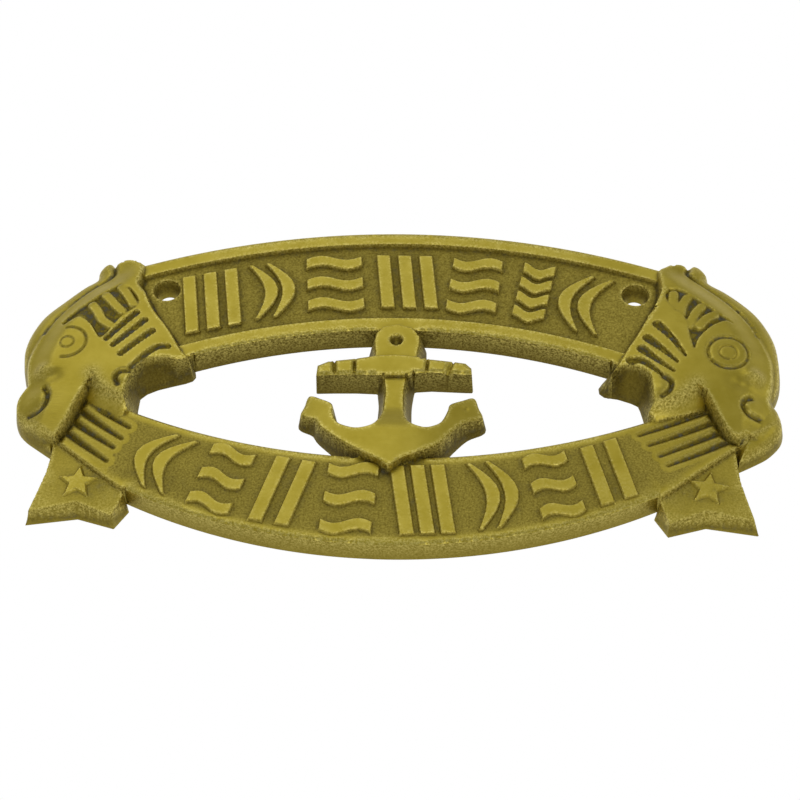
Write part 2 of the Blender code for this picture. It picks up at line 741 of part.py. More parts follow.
def dimple(casting):
    """The blind eye of the anchor."""
    x, z = anchor_point(*DIMPLE)
    profile = ((0.0, LOBE_THICK - DIMPLE_DEPTH), (DIMPLE_BOWL_RADIUS, LOBE_THICK - DIMPLE_BOWL_DEPTH),
               (DIMPLE_RADIUS, LOBE_THICK + ROOT), (0.0, LOBE_THICK + ROOT))
    return combine(casting, turned("dimple", x, z, profile, segments=16), "DIFFERENCE")


def plane_back(casting):
    """Plane the back flat on the wall."""
    size = 2 * (HEAD_SPACING + TOP_EDGE)
    bpy.ops.mesh.primitive_cube_add(size=size, location=(0.0, size / 2, 0.0))
    return combine(casting, adopt("wall"), "DIFFERENCE")


def brass():
    """Belt-polished yellow brass gone a little olive."""
    material = bpy.data.materials.new("polished_brass")
    material.use_nodes = True
    shader = material.node_tree.nodes["Principled BSDF"]
    shader.inputs["Base Color"].default_value = (0.47, 0.36, 0.09, 1.0)
    shader.inputs["Metallic"].default_value = 1.0
    shader.inputs["Roughness"].default_value = 0.42
    return material


def main():
    """Build the sign from the wall outwards, then carve it."""
    casting = top_band()
    casting = combine(casting, low_band(), "UNION")
    for side in (-1, 1):
        casting = combine(casting, tail(side), "UNION")
        casting = combine(casting, star(side), "UNION")
        casting = combine(casting, head_back(side), "UNION")
        casting = combine(casting, head_face(side), "UNION")
    for form in (lobe(), shank(), crown(), stock()):
        casting = combine(casting, form, "UNION")
    for row in strokes():
        casting = combine(casting, row, "UNION")
    for side in (-1, 1):
        casting = carve_head(casting, side)
        casting = carve_flutes(casting, side)
    casting = dimple(casting)
    casting = screw_holes(casting)
    casting = plane_back(casting)
    weld(casting.data)
    casting.name = "sign_casting"
    casting.data.materials.clear()
    casting.data.materials.append(brass())
    casting.data.shade_smooth()
    casting.data.set_sharp_from_angle(angle=math.radians(35))


clear_scene()
backs = []
sign_collection = bpy.data.collections.new("boat_sign")
bpy.context.scene.collection.children.link(sign_collection)
main()
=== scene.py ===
# %% [markdown]
# # A cast brass boat sign
#
# The real sign is one sand casting. A pattern was pressed into damp sand, brass was poured into the
# hollow, and a belt polished whatever stood proud. So its faces are bright and flat, its fields and
# walls keep the grain of the sand, and every groove holds old dirt.
#
# A casting like this is a relief: seen square on, each point of the plan has one height. That makes
# it a function of two parameters, x across the sign and z up it, and this script builds it that way.
# Each form (a band, a head, a tail, the anchor) is a small function that gives a height at every
# point at once, and the casting is the highest of them.
#
# Plan sizes are in millimetres from the datum, level with the middle of the anchor, because that is
# how a pattern maker's drawing reads. Heights are measured from the wall towards the viewer.

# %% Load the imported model
import math

import bpy
import numpy as np
from mathutils import Matrix, Vector, geometry


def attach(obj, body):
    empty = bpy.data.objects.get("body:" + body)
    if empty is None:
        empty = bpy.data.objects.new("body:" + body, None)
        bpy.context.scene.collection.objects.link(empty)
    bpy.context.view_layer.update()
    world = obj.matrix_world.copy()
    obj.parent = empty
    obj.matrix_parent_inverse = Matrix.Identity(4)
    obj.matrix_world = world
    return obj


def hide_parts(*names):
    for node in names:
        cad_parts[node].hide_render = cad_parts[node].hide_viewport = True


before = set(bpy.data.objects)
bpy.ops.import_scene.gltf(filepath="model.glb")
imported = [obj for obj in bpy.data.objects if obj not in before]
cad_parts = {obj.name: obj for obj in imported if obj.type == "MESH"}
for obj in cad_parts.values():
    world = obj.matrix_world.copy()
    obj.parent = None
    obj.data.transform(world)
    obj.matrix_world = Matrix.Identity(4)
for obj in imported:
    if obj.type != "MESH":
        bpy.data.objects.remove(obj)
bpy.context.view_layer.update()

# %% [markdown]
# ## The sizes
#
# These repeat the driving sizes of the solid, so that the two agree wherever they meet. The origin
# sits on the flat back, a little above the datum.

# %% Sizes of the casting, in millimetres
ORIGIN_RISE = 8.25
PLATE = 8.0
FIELD_DEPTH = 1.3
LOW_BAND = 7.2
LOW_STROKE_RISE = 0.9
HEAD = 12.2
TAIL = 5.8
STAR_RISE = 0.8
STOCK = 9.5
CROWN = 10.8
TIP_DROP = 4.8
LOBE = 8.4
RIM = 4.6
WINDOW_TOP = 27.8
WINDOW_LOW = WINDOW_TOP - 48.9
TOP_EDGE = WINDOW_TOP + 40.3
LOW_EDGE = WINDOW_LOW - 30.9
TOP_RADIUS = 227.0
WINDOW_TOP_RADIUS = 180.0
WINDOW_LOW_RADIUS = 197.0
LOW_RADIUS = 172.0

# %% [markdown]
# ## Measuring in the plan
#
# Everything below rests on one idea, the signed distance: how far a point is from the edge of a
# shape, negative inside it and positive outside. Walls, rounded edges, grooves and rims are all
# simple functions of that distance.

# %% Distances
FAR = 50.0
REACH = 8.0


def smooth_line(points, spans=4):
    """Catmull-Rom: between two points each coordinate is the cubic that also heads for the next ones."""
    pts = np.asarray(points, float)
    padded = np.vstack([pts[:1], pts, pts[-1:]])
    a, b, c, d = (padded[i:len(pts) - 1 + i, None] for i in range(4))
    t = (np.arange(spans) / spans)[None, :, None]
    curve = 0.5 * (2 * b + (c - a) * t + (2 * a - 5 * b + 4 * c - d) * t ** 2
                   + (3 * b - a - 3 * c + d) * t ** 3)
    return np.vstack([curve.reshape(-1, 2), pts[-1:]])


def to_segments(p, start, end):
    """The distance from each point to each segment: the length of what is left of the offset once
    its share along the segment, held between nought and one, is taken away. Also that share."""
    along = end - start
    share = ((p[:, None] - start) * along).sum(2) / np.maximum((along ** 2).sum(1), 1e-12)
    share = np.clip(share, 0.0, 1.0)
    gap = p[:, None] - (start + share[..., None] * along)
    return np.hypot(gap[..., 0], gap[..., 1]), share


def near_box(p, outline):
    """Which points lie within reach of an outline's bounding box."""
    return np.all((p > outline.min(0) - REACH) & (p < outline.max(0) + REACH), axis=1)


def enclosed(p, start, end):
    """Whether the edges enclose each point: a ray from it crosses them an odd number of times."""
    x, z = p[:, :1], p[:, 1:]
    spans = (start[:, 1] > z) != (end[:, 1] > z)
    rise = np.where(end[:, 1] == start[:, 1], 1e-9, end[:, 1] - start[:, 1])
    crossing = start[:, 0] + (z - start[:, 1]) * (end[:, 0] - start[:, 0]) / rise
    return (spans & (x < crossing)).sum(1) % 2 == 1


def inside(p, outline):
    """The signed distance to a closed outline, negative where the outline encloses the point."""
    result = np.full(len(p), FAR)
    near = near_box(p, outline)
    if not near.any():
        return result
    q, start, end = p[near], outline, np.roll(outline, -1, axis=0)
    distance = to_segments(q, start, end)[0].min(1)
    result[near] = np.where(enclosed(q, start, end), -distance, distance)
    return result


def along(p, path):
    """The distance to an open path, and how far along it the nearest point lies, from 0 to 1."""
    distance, share = np.full(len(p), FAR), np.zeros(len(p))
    near = near_box(p, path)
    if not near.any():
        return distance, share
    lengths = np.hypot(*np.diff(path, axis=0).T)
    before = np.concatenate([[0.0], np.cumsum(lengths)[:-1]])
    gaps, shares = to_segments(p[near], path[:-1], path[1:])
    best = gaps.argmin(1)
    rows = np.arange(len(best))
    distance[near] = gaps[rows, best]
    share[near] = (before[best] + shares[rows, best] * lengths[best]) / lengths.sum()
    return distance, share


def ease(t):
    """A ramp from 0 to 1 that starts and ends level: three t squared less two t cubed."""
    t = np.clip(t, 0.0, 1.0)
    return t * t * (3.0 - 2.0 * t)


def bell(distance, width):
    """A bell curve: e to the minus square of distance over width."""
    return np.exp(-(distance / width) ** 2)


def cast_edge(d, height, lean, arris):
    """The height inside an edge, less a quarter round of radius arris beside it, and a wall outside
    that falls to nothing over lean."""
    bend = np.clip(1.0 + np.minimum(d, 0.0) / arris, 0.0, 1.0)
    rounded = height - arris * (1.0 - np.sqrt(1.0 - bend ** 2))
    return np.where(d < 0.0, rounded, (height - arris) * np.clip(1.0 - d / lean, 0.0, 1.0))


# %% [markdown]
# ## The ring
#
# Two curved bands make the ring. The upper one has a raised rim along both edges and a sunk field
# between them. All four edges are arcs of circles, so their distances are exact: how far a point is
# from the circle's centre, less the radius.

# %% The two bands
WALL_LEAN = 0.35
BAND_ARRIS = 0.4
FIELD_RAMP = 0.45
UPPER_END = ((70.0, 13.6), (38.4, -14.0))
LOWER_END = ((96.0, 3.0), (15.9, 12.0))
TAPER = ((80.0, -32.3), (0.82, -1.0))


def arch(p, apex, radius):
    """How far outside a circle whose top is at the apex."""
    return np.hypot(p[:, 0], p[:, 1] - apex + radius) - radius


def bowl(p, apex, radius):
    """How far outside a circle whose lowest point is at the apex."""
    return np.hypot(p[:, 0], p[:, 1] - apex - radius) - radius


def beyond(p, line):
    """How far past a straight line, the same on both halves: the offset from its point, measured
    along its normal."""
    (x, z), normal = line
    nx, nz = np.array(normal) / np.hypot(*normal)
    return nx * (np.abs(p[:, 0]) - x) + nz * (p[:, 1] - z)


def upper_edges(p):
    return np.maximum(arch(p, TOP_EDGE, TOP_RADIUS), -arch(p, WINDOW_TOP, WINDOW_TOP_RADIUS))


def upper_band(p):
    return np.maximum(upper_edges(p), beyond(p, UPPER_END))


def lower_band(p):
    edges = np.maximum(bowl(p, LOW_EDGE, LOW_RADIUS), -bowl(p, WINDOW_LOW, WINDOW_LOW_RADIUS))
    return np.maximum(edges, np.maximum(beyond(p, TAPER), beyond(p, LOWER_END)))


def field(p):
    """The sunk field is what lies more than a rim's width inside both edges."""
    return upper_edges(p) + RIM


def ring_height(p):
    upper = cast_edge(upper_band(p), PLATE, WALL_LEAN, BAND_ARRIS)
    upper = upper - FIELD_DEPTH * ease(-field(p) / FIELD_RAMP)
    return np.maximum(upper, cast_edge(lower_band(p), LOW_BAND, WALL_LEAN, BAND_ARRIS))


# %% [markdown]
# ## The rows of strokes
#
# Both bands carry a row of raised strokes: slanted bars, nested bows and ripples, in groups that
# stand square to the band's curve. Each stroke is an outline worked out from its group's width and
# height, and it rises from the field as cast relief does, with a slight lean and a soft arris.

# %% Strokes
STROKE = 4.2
WAVE_SWING = 1.2
BLUNT_END = 0.3
WAVE_HALF_SHARE = 0.45
MARGIN_TOP = RIM + 4.8
MARGIN_LOW = 3.2
UPPER_HALF_ROW = 67.8
LOWER_HALF_ROW = 72.5
STROKE_LEAN = 0.3
STROKE_ARRIS = 0.25
STEPS = np.linspace(-0.5, 0.5, 9)


def bars(width, height, count, lean):
    """Parallel slanted bars: at height v the middle has moved along by lean times v."""
    pitch = (width - STROKE) / max(count - 1, 1)
    v = STEPS * height
    for middle in pitch * (np.arange(count) - (count - 1) / 2):
        spine = middle + lean * v
        yield spine - STROKE / 2, spine + STROKE / 2, v, True


def bows(width, height, count, bulge):
    """Nested bows: both the sideways swing and the width follow the cosine of the height."""
    pitch = (width - STROKE) / count
    v = STEPS * height
    bow = np.cos(math.pi * STEPS)
    half = STROKE / 2 * (BLUNT_END + (1 - BLUNT_END) * bow)
    for middle in pitch * (np.arange(count) - (count - 1) / 2):
        spine = middle + bulge * (bow - 0.5) * pitch
        yield spine - half, spine + half, v, True


def ripples(width, height, count, phase):
    """Level strokes one above the other, each raised by the sine of the distance along it."""
    pitch = (height - STROKE) / max(count - 1, 1)
    u = STEPS * width
    for middle in pitch * (np.arange(count) - (count - 1) / 2):
        line = middle + WAVE_SWING * np.sin(2 * math.pi * (STEPS + 0.5) + phase)
        yield line - WAVE_HALF_SHARE * STROKE, line + WAVE_HALF_SHARE * STROKE, u, False


# Each group: its share of the half row, its width, and how it is cut
UPPER_ROW = ((-0.86, 17.5, bars, 3, 0.12), (-0.59, 15.0, bows, 2, 1.0), (-0.30, 17.5, ripples, 3, 0.0),
             (0.03, 17.5, bars, 3, -0.12), (0.34, 15.5, ripples, 3, 3.1),
             (0.61, 10.0, ripples, 4, 1.6), (0.84, 16.5, bows, 2, -1.0))
LOWER_ROW = ((-0.93, 16.5, bows, 2, -1.0), (-0.68, 13.5, ripples, 3, 0.0), (-0.43, 12.0, bars, 2, 0.10),
             (-0.16, 15.0, ripples, 3, 3.1), (0.13, 16.0, bars, 3, -0.10), (0.41, 15.0, bows, 2, 1.0),
             (0.65, 13.0, ripples, 3, 0.0), (0.87, 11.5, bars, 2, 0.10))


def drop(x, radius):
    """How far an arc has left its apex at x."""
    return radius - math.sqrt(radius ** 2 - x ** 2)


def row_outlines(row, half_row, upper, lower, turn_radius):
    """The outlines of a row: each group is turned by the arc sine of its x over the band's radius."""
    outlines = []
    for share, width, cut, count, detail in row:
        x = share * half_row
        lean = math.asin(x / turn_radius)
        top, bottom = upper(x), lower(x)
        turn = np.array([[math.cos(lean), -math.sin(lean)], [math.sin(lean), math.cos(lean)]])
        for low, high, spine, upright in cut(width, (top - bottom) * math.cos(lean), count, detail):
            sides = [np.stack([line, spine] if upright else [spine, line], 1) for line in (low, high)]
            outline = np.vstack([sides[0], sides[1][::-1]])
            outlines.append(outline @ turn + (x, (top + bottom) / 2))
    return outlines


upper_strokes = row_outlines(
    UPPER_ROW, UPPER_HALF_ROW, lambda x: TOP_EDGE - drop(x, TOP_RADIUS) - MARGIN_TOP,
    lambda x: WINDOW_TOP - drop(x, WINDOW_TOP_RADIUS) + MARGIN_TOP, TOP_RADIUS)
lower_strokes = row_outlines(
    LOWER_ROW, LOWER_HALF_ROW, lambda x: WINDOW_LOW + drop(x, WINDOW_LOW_RADIUS) - MARGIN_LOW,
    lambda x: LOW_EDGE + drop(x, LOW_RADIUS) + MARGIN_LOW, -LOW_RADIUS)
print("Strokes above and below:", len(upper_strokes), len(lower_strokes))


def strokes(p, outlines):
    """The distance to the nearest stroke of a row."""
    nearest = np.full(len(p), FAR)
    for outline in outlines:
        nearest = np.minimum(nearest, inside(p, outline))
    return nearest


def stroke_height(p, outlines, base, top):
    """A stroke stands on its base, so only what is above the base has an edge."""
    rise = cast_edge(strokes(p, outlines), top - base, STROKE_LEAN, STROKE_ARRIS)
    return np.where(rise > 0.0, base + rise, 0.0)


# %% [markdown]
# ## The anchor
#
# The anchor bridges the window. Shank and arms are one polished surface: it is lowest along the shank
# and climbs to the crown, and falls again towards the flukes. Its two halves differ by a millimetre
# or so, as hand work does. The walls lean, more beside the shank than under the crown, because a
# pattern has to come out of the sand.

# %% Anchor
SPAN = 56.0
BODY = ((0.1, -26.2), (2.2, -23.9), (6.5, -21.5), (10.8, -19.3), (14.2, -16.8), (17.1, -12.9), (21.3, -8.2),
        (26.2, -5.4), (25.1, -1.8), (23.7, 1.7), (20.2, 0.0), (16.7, -2.2), (15.9, -5.0), (14.3, -8.9),
        (12.1, -10.7), (9.2, -11.6), (5.8, -10.5), (3.9, -8.0), (3.0, -3.4), (2.8, 3.0), (3.3, 8.2),
        (3.8, 13.4), (-4.1, 13.4), (-3.7, 8.6), (-3.1, 4.4), (-3.1, 0.8), (-3.6, -5.0), (-5.2, -9.8),
        (-7.8, -11.6), (-11.3, -11.9), (-14.9, -10.5), (-16.8, -8.9), (-18.2, -5.4), (-18.5, -2.2),
        (-22.0, 0.4), (-25.6, 2.2), (-26.8, -1.4), (-27.8, -4.9), (-23.8, -7.2), (-21.4, -10.7),
        (-14.6, -17.1), (-8.4, -21.3), (-4.5, -23.6), (-1.3, -26.1), (0.1, -26.2))
LOBE_EDGE = ((6.0, 14.0), (6.3, 18.0), (6.9, 22.0), (6.8, 25.0), (4.4, 28.3), (0.0, 29.8), (-4.6, 28.7),
             (-6.6, 26.0), (-7.1, 23.0), (-6.6, 18.0), (-6.3, 14.0))
STOCK_EDGE = ((22.9, 9.8), (22.7, 12.2), (20.9, 14.1), (17.7, 14.5), (10.7, 15.2), (6.4, 16.2), (0.0, 16.8),
              (-5.7, 16.5), (-12.8, 15.2), (-20.5, 14.3), (-23.7, 12.7), (-23.9, 8.8), (-18.5, 9.0),
              (-12.1, 9.1), (-4.3, 8.8), (4.3, 8.9), (5.2, 9.7), (10.7, 10.2), (21.0, 9.8))
NOTCHES = (((-18.9, 14.6), (-18.3, 8.8)), ((-12.7, 15.4), (-12.4, 9.0)),
           ((9.6, 15.5), (9.2, 10.2)), ((17.0, 14.9), (15.6, 10.0)))
NOTCH_WIDTHS = (0.6, 0.42, 0.42, 0.75)
STOCK_ARRIS = 0.6
CROWN_LEAN = 1.0
SHANK_LEAN = 2.1
LOBE_LEAN = 1.9
DIMPLE = (-0.3, 23.3)
DIMPLE_RADIUS = 2.1
DIMPLE_DEPTH = 2.6
DENT = (21.2, -3.0)
body_edge = smooth_line(BODY)[:-1]
lobe_edge, stock_edge = np.array(LOBE_EDGE), np.array(STOCK_EDGE)


def body_lean(p):
    """How far the body's wall leans: a little under the crown, more beside the shank."""
    beside_shank = ease((p[:, 1] + 9.0) / 4.0) * ease((8.0 - np.abs(p[:, 0])) / 3.0)
    return CROWN_LEAN + (SHANK_LEAN - CROWN_LEAN) * beside_shank


def anchor_height(p):
    x, z = p.T
    radius = (SPAN ** 2 / 4 + TIP_DROP ** 2) / (2 * TIP_DROP)
    arms = CROWN - (radius - np.sqrt(np.maximum(radius ** 2 - x ** 2, 1.0)))
    by_shank = (1.0 - ease((-2.0 - z) / 11.0)) * (1.0 - ease((np.abs(x) - 3.5) / 5.0))
    top = arms - (CROWN - PLATE) * by_shank - 0.4 * bell(np.hypot(x - DENT[0], z - DENT[1]), 0.7)
    body = cast_edge(inside(p, body_edge), top, body_lean(p), BAND_ARRIS)
    lobe = cast_edge(inside(p, lobe_edge), LOBE, LOBE_LEAN, BAND_ARRIS)
    hollow = np.clip(1.0 - (np.hypot(x - DIMPLE[0], z - DIMPLE[1]) / DIMPLE_RADIUS) ** 2, 0.0, 1.0)
    across = inside(p, stock_edge)
    cross = cast_edge(across, STOCK - 0.0012 * x ** 2, WALL_LEAN, STOCK_ARRIS)
    for notch, width in zip(NOTCHES, NOTCH_WIDTHS):
        cross = cross - 1.0 * bell(along(p, np.array(notch))[0], width) * (across < 0.0)
    return np.maximum(np.maximum(body, lobe - DIMPLE_DEPTH * hollow), cross)


def anchor_foot(p):
    return np.minimum.reduce([inside(p, body_edge) - body_lean(p), inside(p, lobe_edge) - LOBE_LEAN,
                              inside(p, stock_edge) - WALL_LEAN])


# %% [markdown]
# ## The tails
#
# A swallowtail of ribbon hangs below each head, lower than the band and with a raised star on it.
# Its walls lean: wide at the wall, narrower at the face.

# %% Tails
def lean_share(foot, face):
    """How much of its height a leaning wall has reached: the distance inside the foot, over that and
    the distance outside the face together."""
    within = np.maximum(-foot, 0.0)
    return within / np.maximum(within + np.maximum(face, 0.0), 1e-6)


TAIL_FACE = ((100.3, -14.0), (100.6, -21.5), (101.1, -27.0), (102.3, -32.5), (104.4, -41.2),
             (90.7, -37.6), (80.2, -42.5), (77.6, -34.8), (80.0, -26.0))
TAIL_FOOT = ((100.8, -14.0), (101.2, -22.0), (101.9, -28.0), (103.5, -33.0), (106.0, -42.3),
             (90.9, -39.9), (80.0, -43.2), (76.2, -37.0), (80.0, -26.0))
STARS = {-1: (91.3, -30.9, 0.02), 1: (91.7, -29.9, -0.16)}
STAR_RADIUS = 5.8
STAR_WAIST = 0.46
tail_face, tail_foot = np.array(TAIL_FACE), np.array(TAIL_FOOT)


def star_outline(x, z, lean):
    """Ten points round a centre, every second one nearer by the waist's share."""
    turn = math.pi / 2 + lean + math.pi * np.arange(10) / 5
    reach = STAR_RADIUS * np.where(np.arange(10) % 2 == 0, 1.0, STAR_WAIST)
    return np.stack([x + reach * np.cos(turn), z + reach * np.sin(turn)], 1)


def tail_height(q, side):
    flat = lean_share(inside(q, tail_foot), inside(q, tail_face)) * TAIL
    rise = cast_edge(inside(q, star_outline(*STARS[side])), STAR_RISE, 0.4, 0.3)
    return flat + rise * (flat > TAIL - 0.1)


# %% [markdown]
# ## The heads
#
# A stylised fish head bites each end of the ring. The pattern maker carved the two by hand, so they
# differ a little. Each is drawn as points on its own lines, in the order in which a carver would cut
# them: the outline of the face, the roll behind it, then gills, tongues, eye, scrolls and flutes.
# Points are given for the right half, and the left head's are its mirror image.

# %% Drawings of the two heads
HEADS = {
    -1: dict(
        fin=((81.2, 52.8), (80.9, 47.9), (81.4, 43.6), (78.7, 39.4), (75.2, 31.9), (69.7, 23.9),
             (65.2, 15.9), (62.6, 13.4)),
        scoop=((62.6, 13.4), (66.4, 12.3), (69.4, 13.0), (73.6, 12.6), (76.4, 11.0), (78.7, 7.2),
               (80.4, 1.6), (80.7, -2.4)),
        jaw=((80.7, -2.4), (84.2, -0.8), (87.2, 0.8), (89.7, 3.8), (91.0, 6.0)),
        mouth=((91.0, 6.0), (92.8, 1.2), (94.8, -3.8), (96.3, -8.8), (98.0, -12.6), (99.6, -16.0)),
        lip=((99.6, -16.0), (104.1, -14.2), (108.4, -11.2), (111.6, -8.2), (113.2, -4.4), (113.2, -0.6),
             (111.9, 2.4), (110.6, 4.4)),
        brow=((110.6, 4.4), (111.3, 8.0), (111.8, 14.0), (110.4, 20.0), (108.9, 24.3), (106.8, 29.4),
              (104.3, 33.2), (101.3, 37.4), (98.3, 41.3), (95.2, 44.7), (91.7, 47.6), (90.0, 50.3)),
        curl=((90.0, 50.3), (90.2, 53.2), (88.4, 54.8), (86.2, 55.3), (83.2, 54.4), (81.2, 52.8)),
        back=((81.2, 52.8), (83.2, 54.6), (86.2, 55.6), (89.6, 54.9), (91.6, 57.0), (94.0, 56.4),
              (95.7, 53.4), (96.0, 49.9), (99.8, 46.6), (105.4, 40.5), (110.5, 34.4), (113.5, 27.7),
              (114.7, 21.6), (114.4, 16.6), (113.0, 10.4), (111.4, 4.6), (113.4, 3.4), (114.2, -0.1),
              (113.7, -4.6), (112.2, -8.7), (109.7, -11.7), (106.1, -14.5), (101.5, -17.9)),
        foot=((90.0, -6.0), (77.2, -6.0), (77.8, 0.5), (77.6, 5.3), (75.7, 7.3), (72.6, 9.0),
              (68.5, 10.4), (64.4, 11.7), (62.3, 12.7), (61.4, 14.3), (62.0, 17.0), (72.0, 24.0)),
        groove=((90.3, 53.6), (89.9, 50.1), (91.8, 47.3), (95.2, 44.2), (98.6, 40.6), (101.6, 36.9),
                (104.5, 32.7), (106.9, 28.6), (108.4, 24.6)),
        slope=((91.0, 6.0), (92.6, 1.0), (91.6, -2.0), (87.5, -5.2), (82.0, -7.4), (79.6, -5.0),
               (80.7, -2.4), (84.2, -0.8), (87.2, 0.8), (89.7, 3.8)),
        strip=((86.8, 43.2), (83.0, 40.5), (80.0, 34.2), (84.6, 28.8), (89.3, 20.4), (91.4, 21.2),
               (94.0, 25.6), (98.0, 28.8), (102.0, 26.2), (103.0, 27.8), (99.5, 32.2), (95.2, 36.0)),
        tongues=(((86.2, 41.4), (84.2, 38.4), (81.8, 34.2)), ((90.6, 37.8), (88.6, 35.4), (86.4, 32.6),
                 (84.9, 31.0)), ((94.2, 33.6), (92.4, 31.0), (90.6, 27.4), (88.0, 25.2))),
        gills=(((80.3, 30.2), (84.2, 25.0), (88.2, 19.4)), ((77.4, 27.2), (81.4, 22.2), (85.8, 17.0)),
               ((74.6, 22.9), (78.8, 18.4), (83.2, 13.4)),
               ((69.4, 16.9), (72.4, 16.4), (76.0, 13.0), (79.4, 8.4))), gill=(0.95, 0.15),
        eye=(100.3, 18.4), outer_ring=(6.0, 80.0, 280.0, 0.34), inner_ring=(2.1, -60.0, 290.0, 0.24),
        hook=((104.9, 1.3), (103.6, -1.2), (103.9, -4.6), (105.7, -6.9), (108.9, -7.6)),
        comma=((79.6, 6.9), (82.3, 6.8), (83.8, 4.7), (82.9, 2.1)), knob=(80.9, 4.2),
        bulge=(106.4, 7.6), hollow=(102.6, 5.8), hidden=((100.2, -16.4), (99.2, -12.0), (97.8, -6.0),
        (97.0, 2.0), (97.0, 20.0), (92.0, 38.0), (86.0, 47.0)),
        flutes=(((92.4, 0.2), (86.0, -5.6), (78.4, -11.0)), ((94.0, -4.4), (87.4, -9.8), (80.2, -15.2)),
                ((96.0, -8.4), (89.4, -13.4), (82.2, -18.6)), ((98.2, -12.0), (91.4, -17.6), (83.6, -23.6))),
    ),
    1: dict(
        fin=((80.6, 52.6), (80.5, 47.5), (80.6, 42.9), (79.1, 37.9), (76.6, 32.4), (73.1, 24.9),
             (68.6, 16.4), (65.1, 9.3), (63.0, 6.4)),
        scoop=((63.0, 6.4), (64.8, 9.0), (66.8, 11.0), (69.6, 12.2), (73.0, 10.8), (75.6, 8.4),
               (76.2, 5.0), (76.6, -2.5)),
        jaw=((76.6, -2.5), (80.1, -2.2), (85.1, 0.3), (89.6, 4.9)),
        mouth=((89.6, 4.9), (91.9, 2.7), (93.9, -1.8), (95.9, -6.8), (98.4, -11.8), (100.9, -13.2)),
        lip=((100.9, -13.2), (103.4, -11.6), (106.8, -11.4), (109.9, -8.2), (111.4, -4.6), (111.2, 0.0),
             (110.8, 3.0)),
        brow=((110.8, 3.0), (112.2, 8.0), (112.6, 16.0), (111.2, 22.0), (109.3, 26.8), (108.0, 30.0),
              (105.7, 34.4), (102.7, 38.4), (99.2, 42.5), (95.6, 46.0), (91.6, 50.1), (89.3, 53.0)),
        curl=((89.3, 53.0), (89.6, 55.1), (88.2, 56.4), (86.7, 56.6), (84.4, 55.7), (82.4, 54.0),
              (80.6, 52.6)),
        back=((80.6, 52.6), (82.4, 54.0), (84.4, 55.7), (86.7, 57.0), (89.2, 57.0), (91.2, 58.6),
              (93.6, 57.8), (95.6, 54.9), (96.2, 51.4), (101.2, 47.6), (106.3, 42.8), (110.2, 38.1),
              (113.0, 32.8), (114.9, 27.2), (115.6, 21.6), (115.6, 15.5), (115.0, 10.4), (113.8, 6.4),
              (112.6, 3.4), (114.0, 0.4), (114.9, -3.6), (114.8, -6.7), (113.6, -9.9), (110.2, -13.8),
              (106.2, -16.5), (101.1, -19.4)),
        foot=((88.0, -6.0), (75.2, -6.0), (74.0, 0.5), (73.4, 3.1), (72.8, 4.9), (70.8, 6.1),
              (66.9, 7.6), (62.8, 8.3), (61.3, 9.7), (61.1, 11.7), (62.3, 13.8), (72.0, 22.0)),
        groove=((89.6, 55.1), (89.1, 53.1), (91.6, 50.1), (95.6, 46.0), (99.2, 42.5), (102.7, 38.4),
                (105.7, 34.4), (108.3, 29.9), (109.3, 26.8)),
        slope=((89.6, 4.9), (92.2, 2.4), (91.8, -1.4), (86.0, -4.0), (77.5, -6.4), (75.4, -4.4),
               (76.6, -2.5), (80.1, -2.2), (85.1, 0.3)),
        strip=((83.0, 43.4), (81.6, 40.0), (83.4, 35.0), (87.2, 30.6), (88.2, 24.0), (89.4, 18.2),
               (91.0, 22.6), (95.2, 27.6), (99.6, 30.2), (101.8, 29.6), (96.4, 34.2), (91.0, 39.0),
               (86.6, 42.6)),
        tongues=(((84.2, 41.0), (84.0, 37.6), (84.8, 35.4)), ((88.4, 39.4), (86.6, 35.8), (86.0, 32.4)),
                 ((92.4, 35.6), (90.4, 32.6), (88.6, 28.0)), ((96.2, 32.4), (93.6, 30.6), (91.4, 27.6))),
        gills=(((78.7, 27.9), (82.8, 22.4), (86.6, 15.4)), ((75.5, 22.2), (79.6, 18.0), (84.1, 13.0)),
               ((73.7, 18.0), (78.0, 13.8), (82.9, 9.4)),
               ((70.4, 13.4), (73.6, 13.2), (77.0, 10.4), (79.6, 7.6))), gill=(1.3, 0.75),
        eye=(99.5, 17.2), outer_ring=(6.1, -148.0, 200.0, 0.52), inner_ring=(2.7, -60.0, 275.0, 0.28),
        hook=((105.4, 1.0), (103.4, -0.4), (102.9, -2.6), (104.4, -5.0), (107.6, -5.6)),
        comma=((80.0, 7.2), (82.0, 5.2), (81.5, 2.3), (79.2, 0.2)), knob=(78.8, 3.4),
        bulge=(107.4, 8.6), hollow=(102.4, 6.0), hidden=((101.0, -15.6), (100.4, -11.0), (98.2, -6.0),
        (96.8, 2.0), (97.0, 20.0), (92.0, 38.0), (86.0, 47.0)),
        flutes=(((93.1, -1.6), (83.0, -6.6), (72.4, -11.4)), ((95.0, -5.6), (85.4, -10.4), (75.2, -15.0)),
                ((96.4, -9.6), (87.6, -14.2), (78.2, -19.0)), ((98.4, -13.0), (89.8, -17.8), (80.4, -22.4))),
    ),
}

# %% [markdown]
# ## Carving the heads
#
# The face is a shallow dome, cut off along its outline. Behind it runs a low roll, with a groove
# where the two meet, and a rough slope fills the corner of the mouth. Each carved line is a path. A
# groove's depth follows a bell curve across it, and a gill is a slot with a flat floor.

# %% Heads
DOME_CENTRE = (84.0, 17.0)
DOME_HALF = (44.0, 50.0)
DOME_SINK = 0.28 * HEAD
FACE_LEAN = 0.9
FACE_ARRIS = 0.45
BROW_FALL = 2.6
BROW_RUN = 8.5
ROLL_LOW = 2.2
ROLL_RISE = 4.9
ROLL_WIDTH = 5.5
GROOVE_DEPTH = 0.9
STRIP_DEPTH = 0.9
TONGUE_HALF = 2.0
SLOT_SIDE = 0.5
SLOPE_FALL = 0.75
SLOPE_MARGIN = 0.3


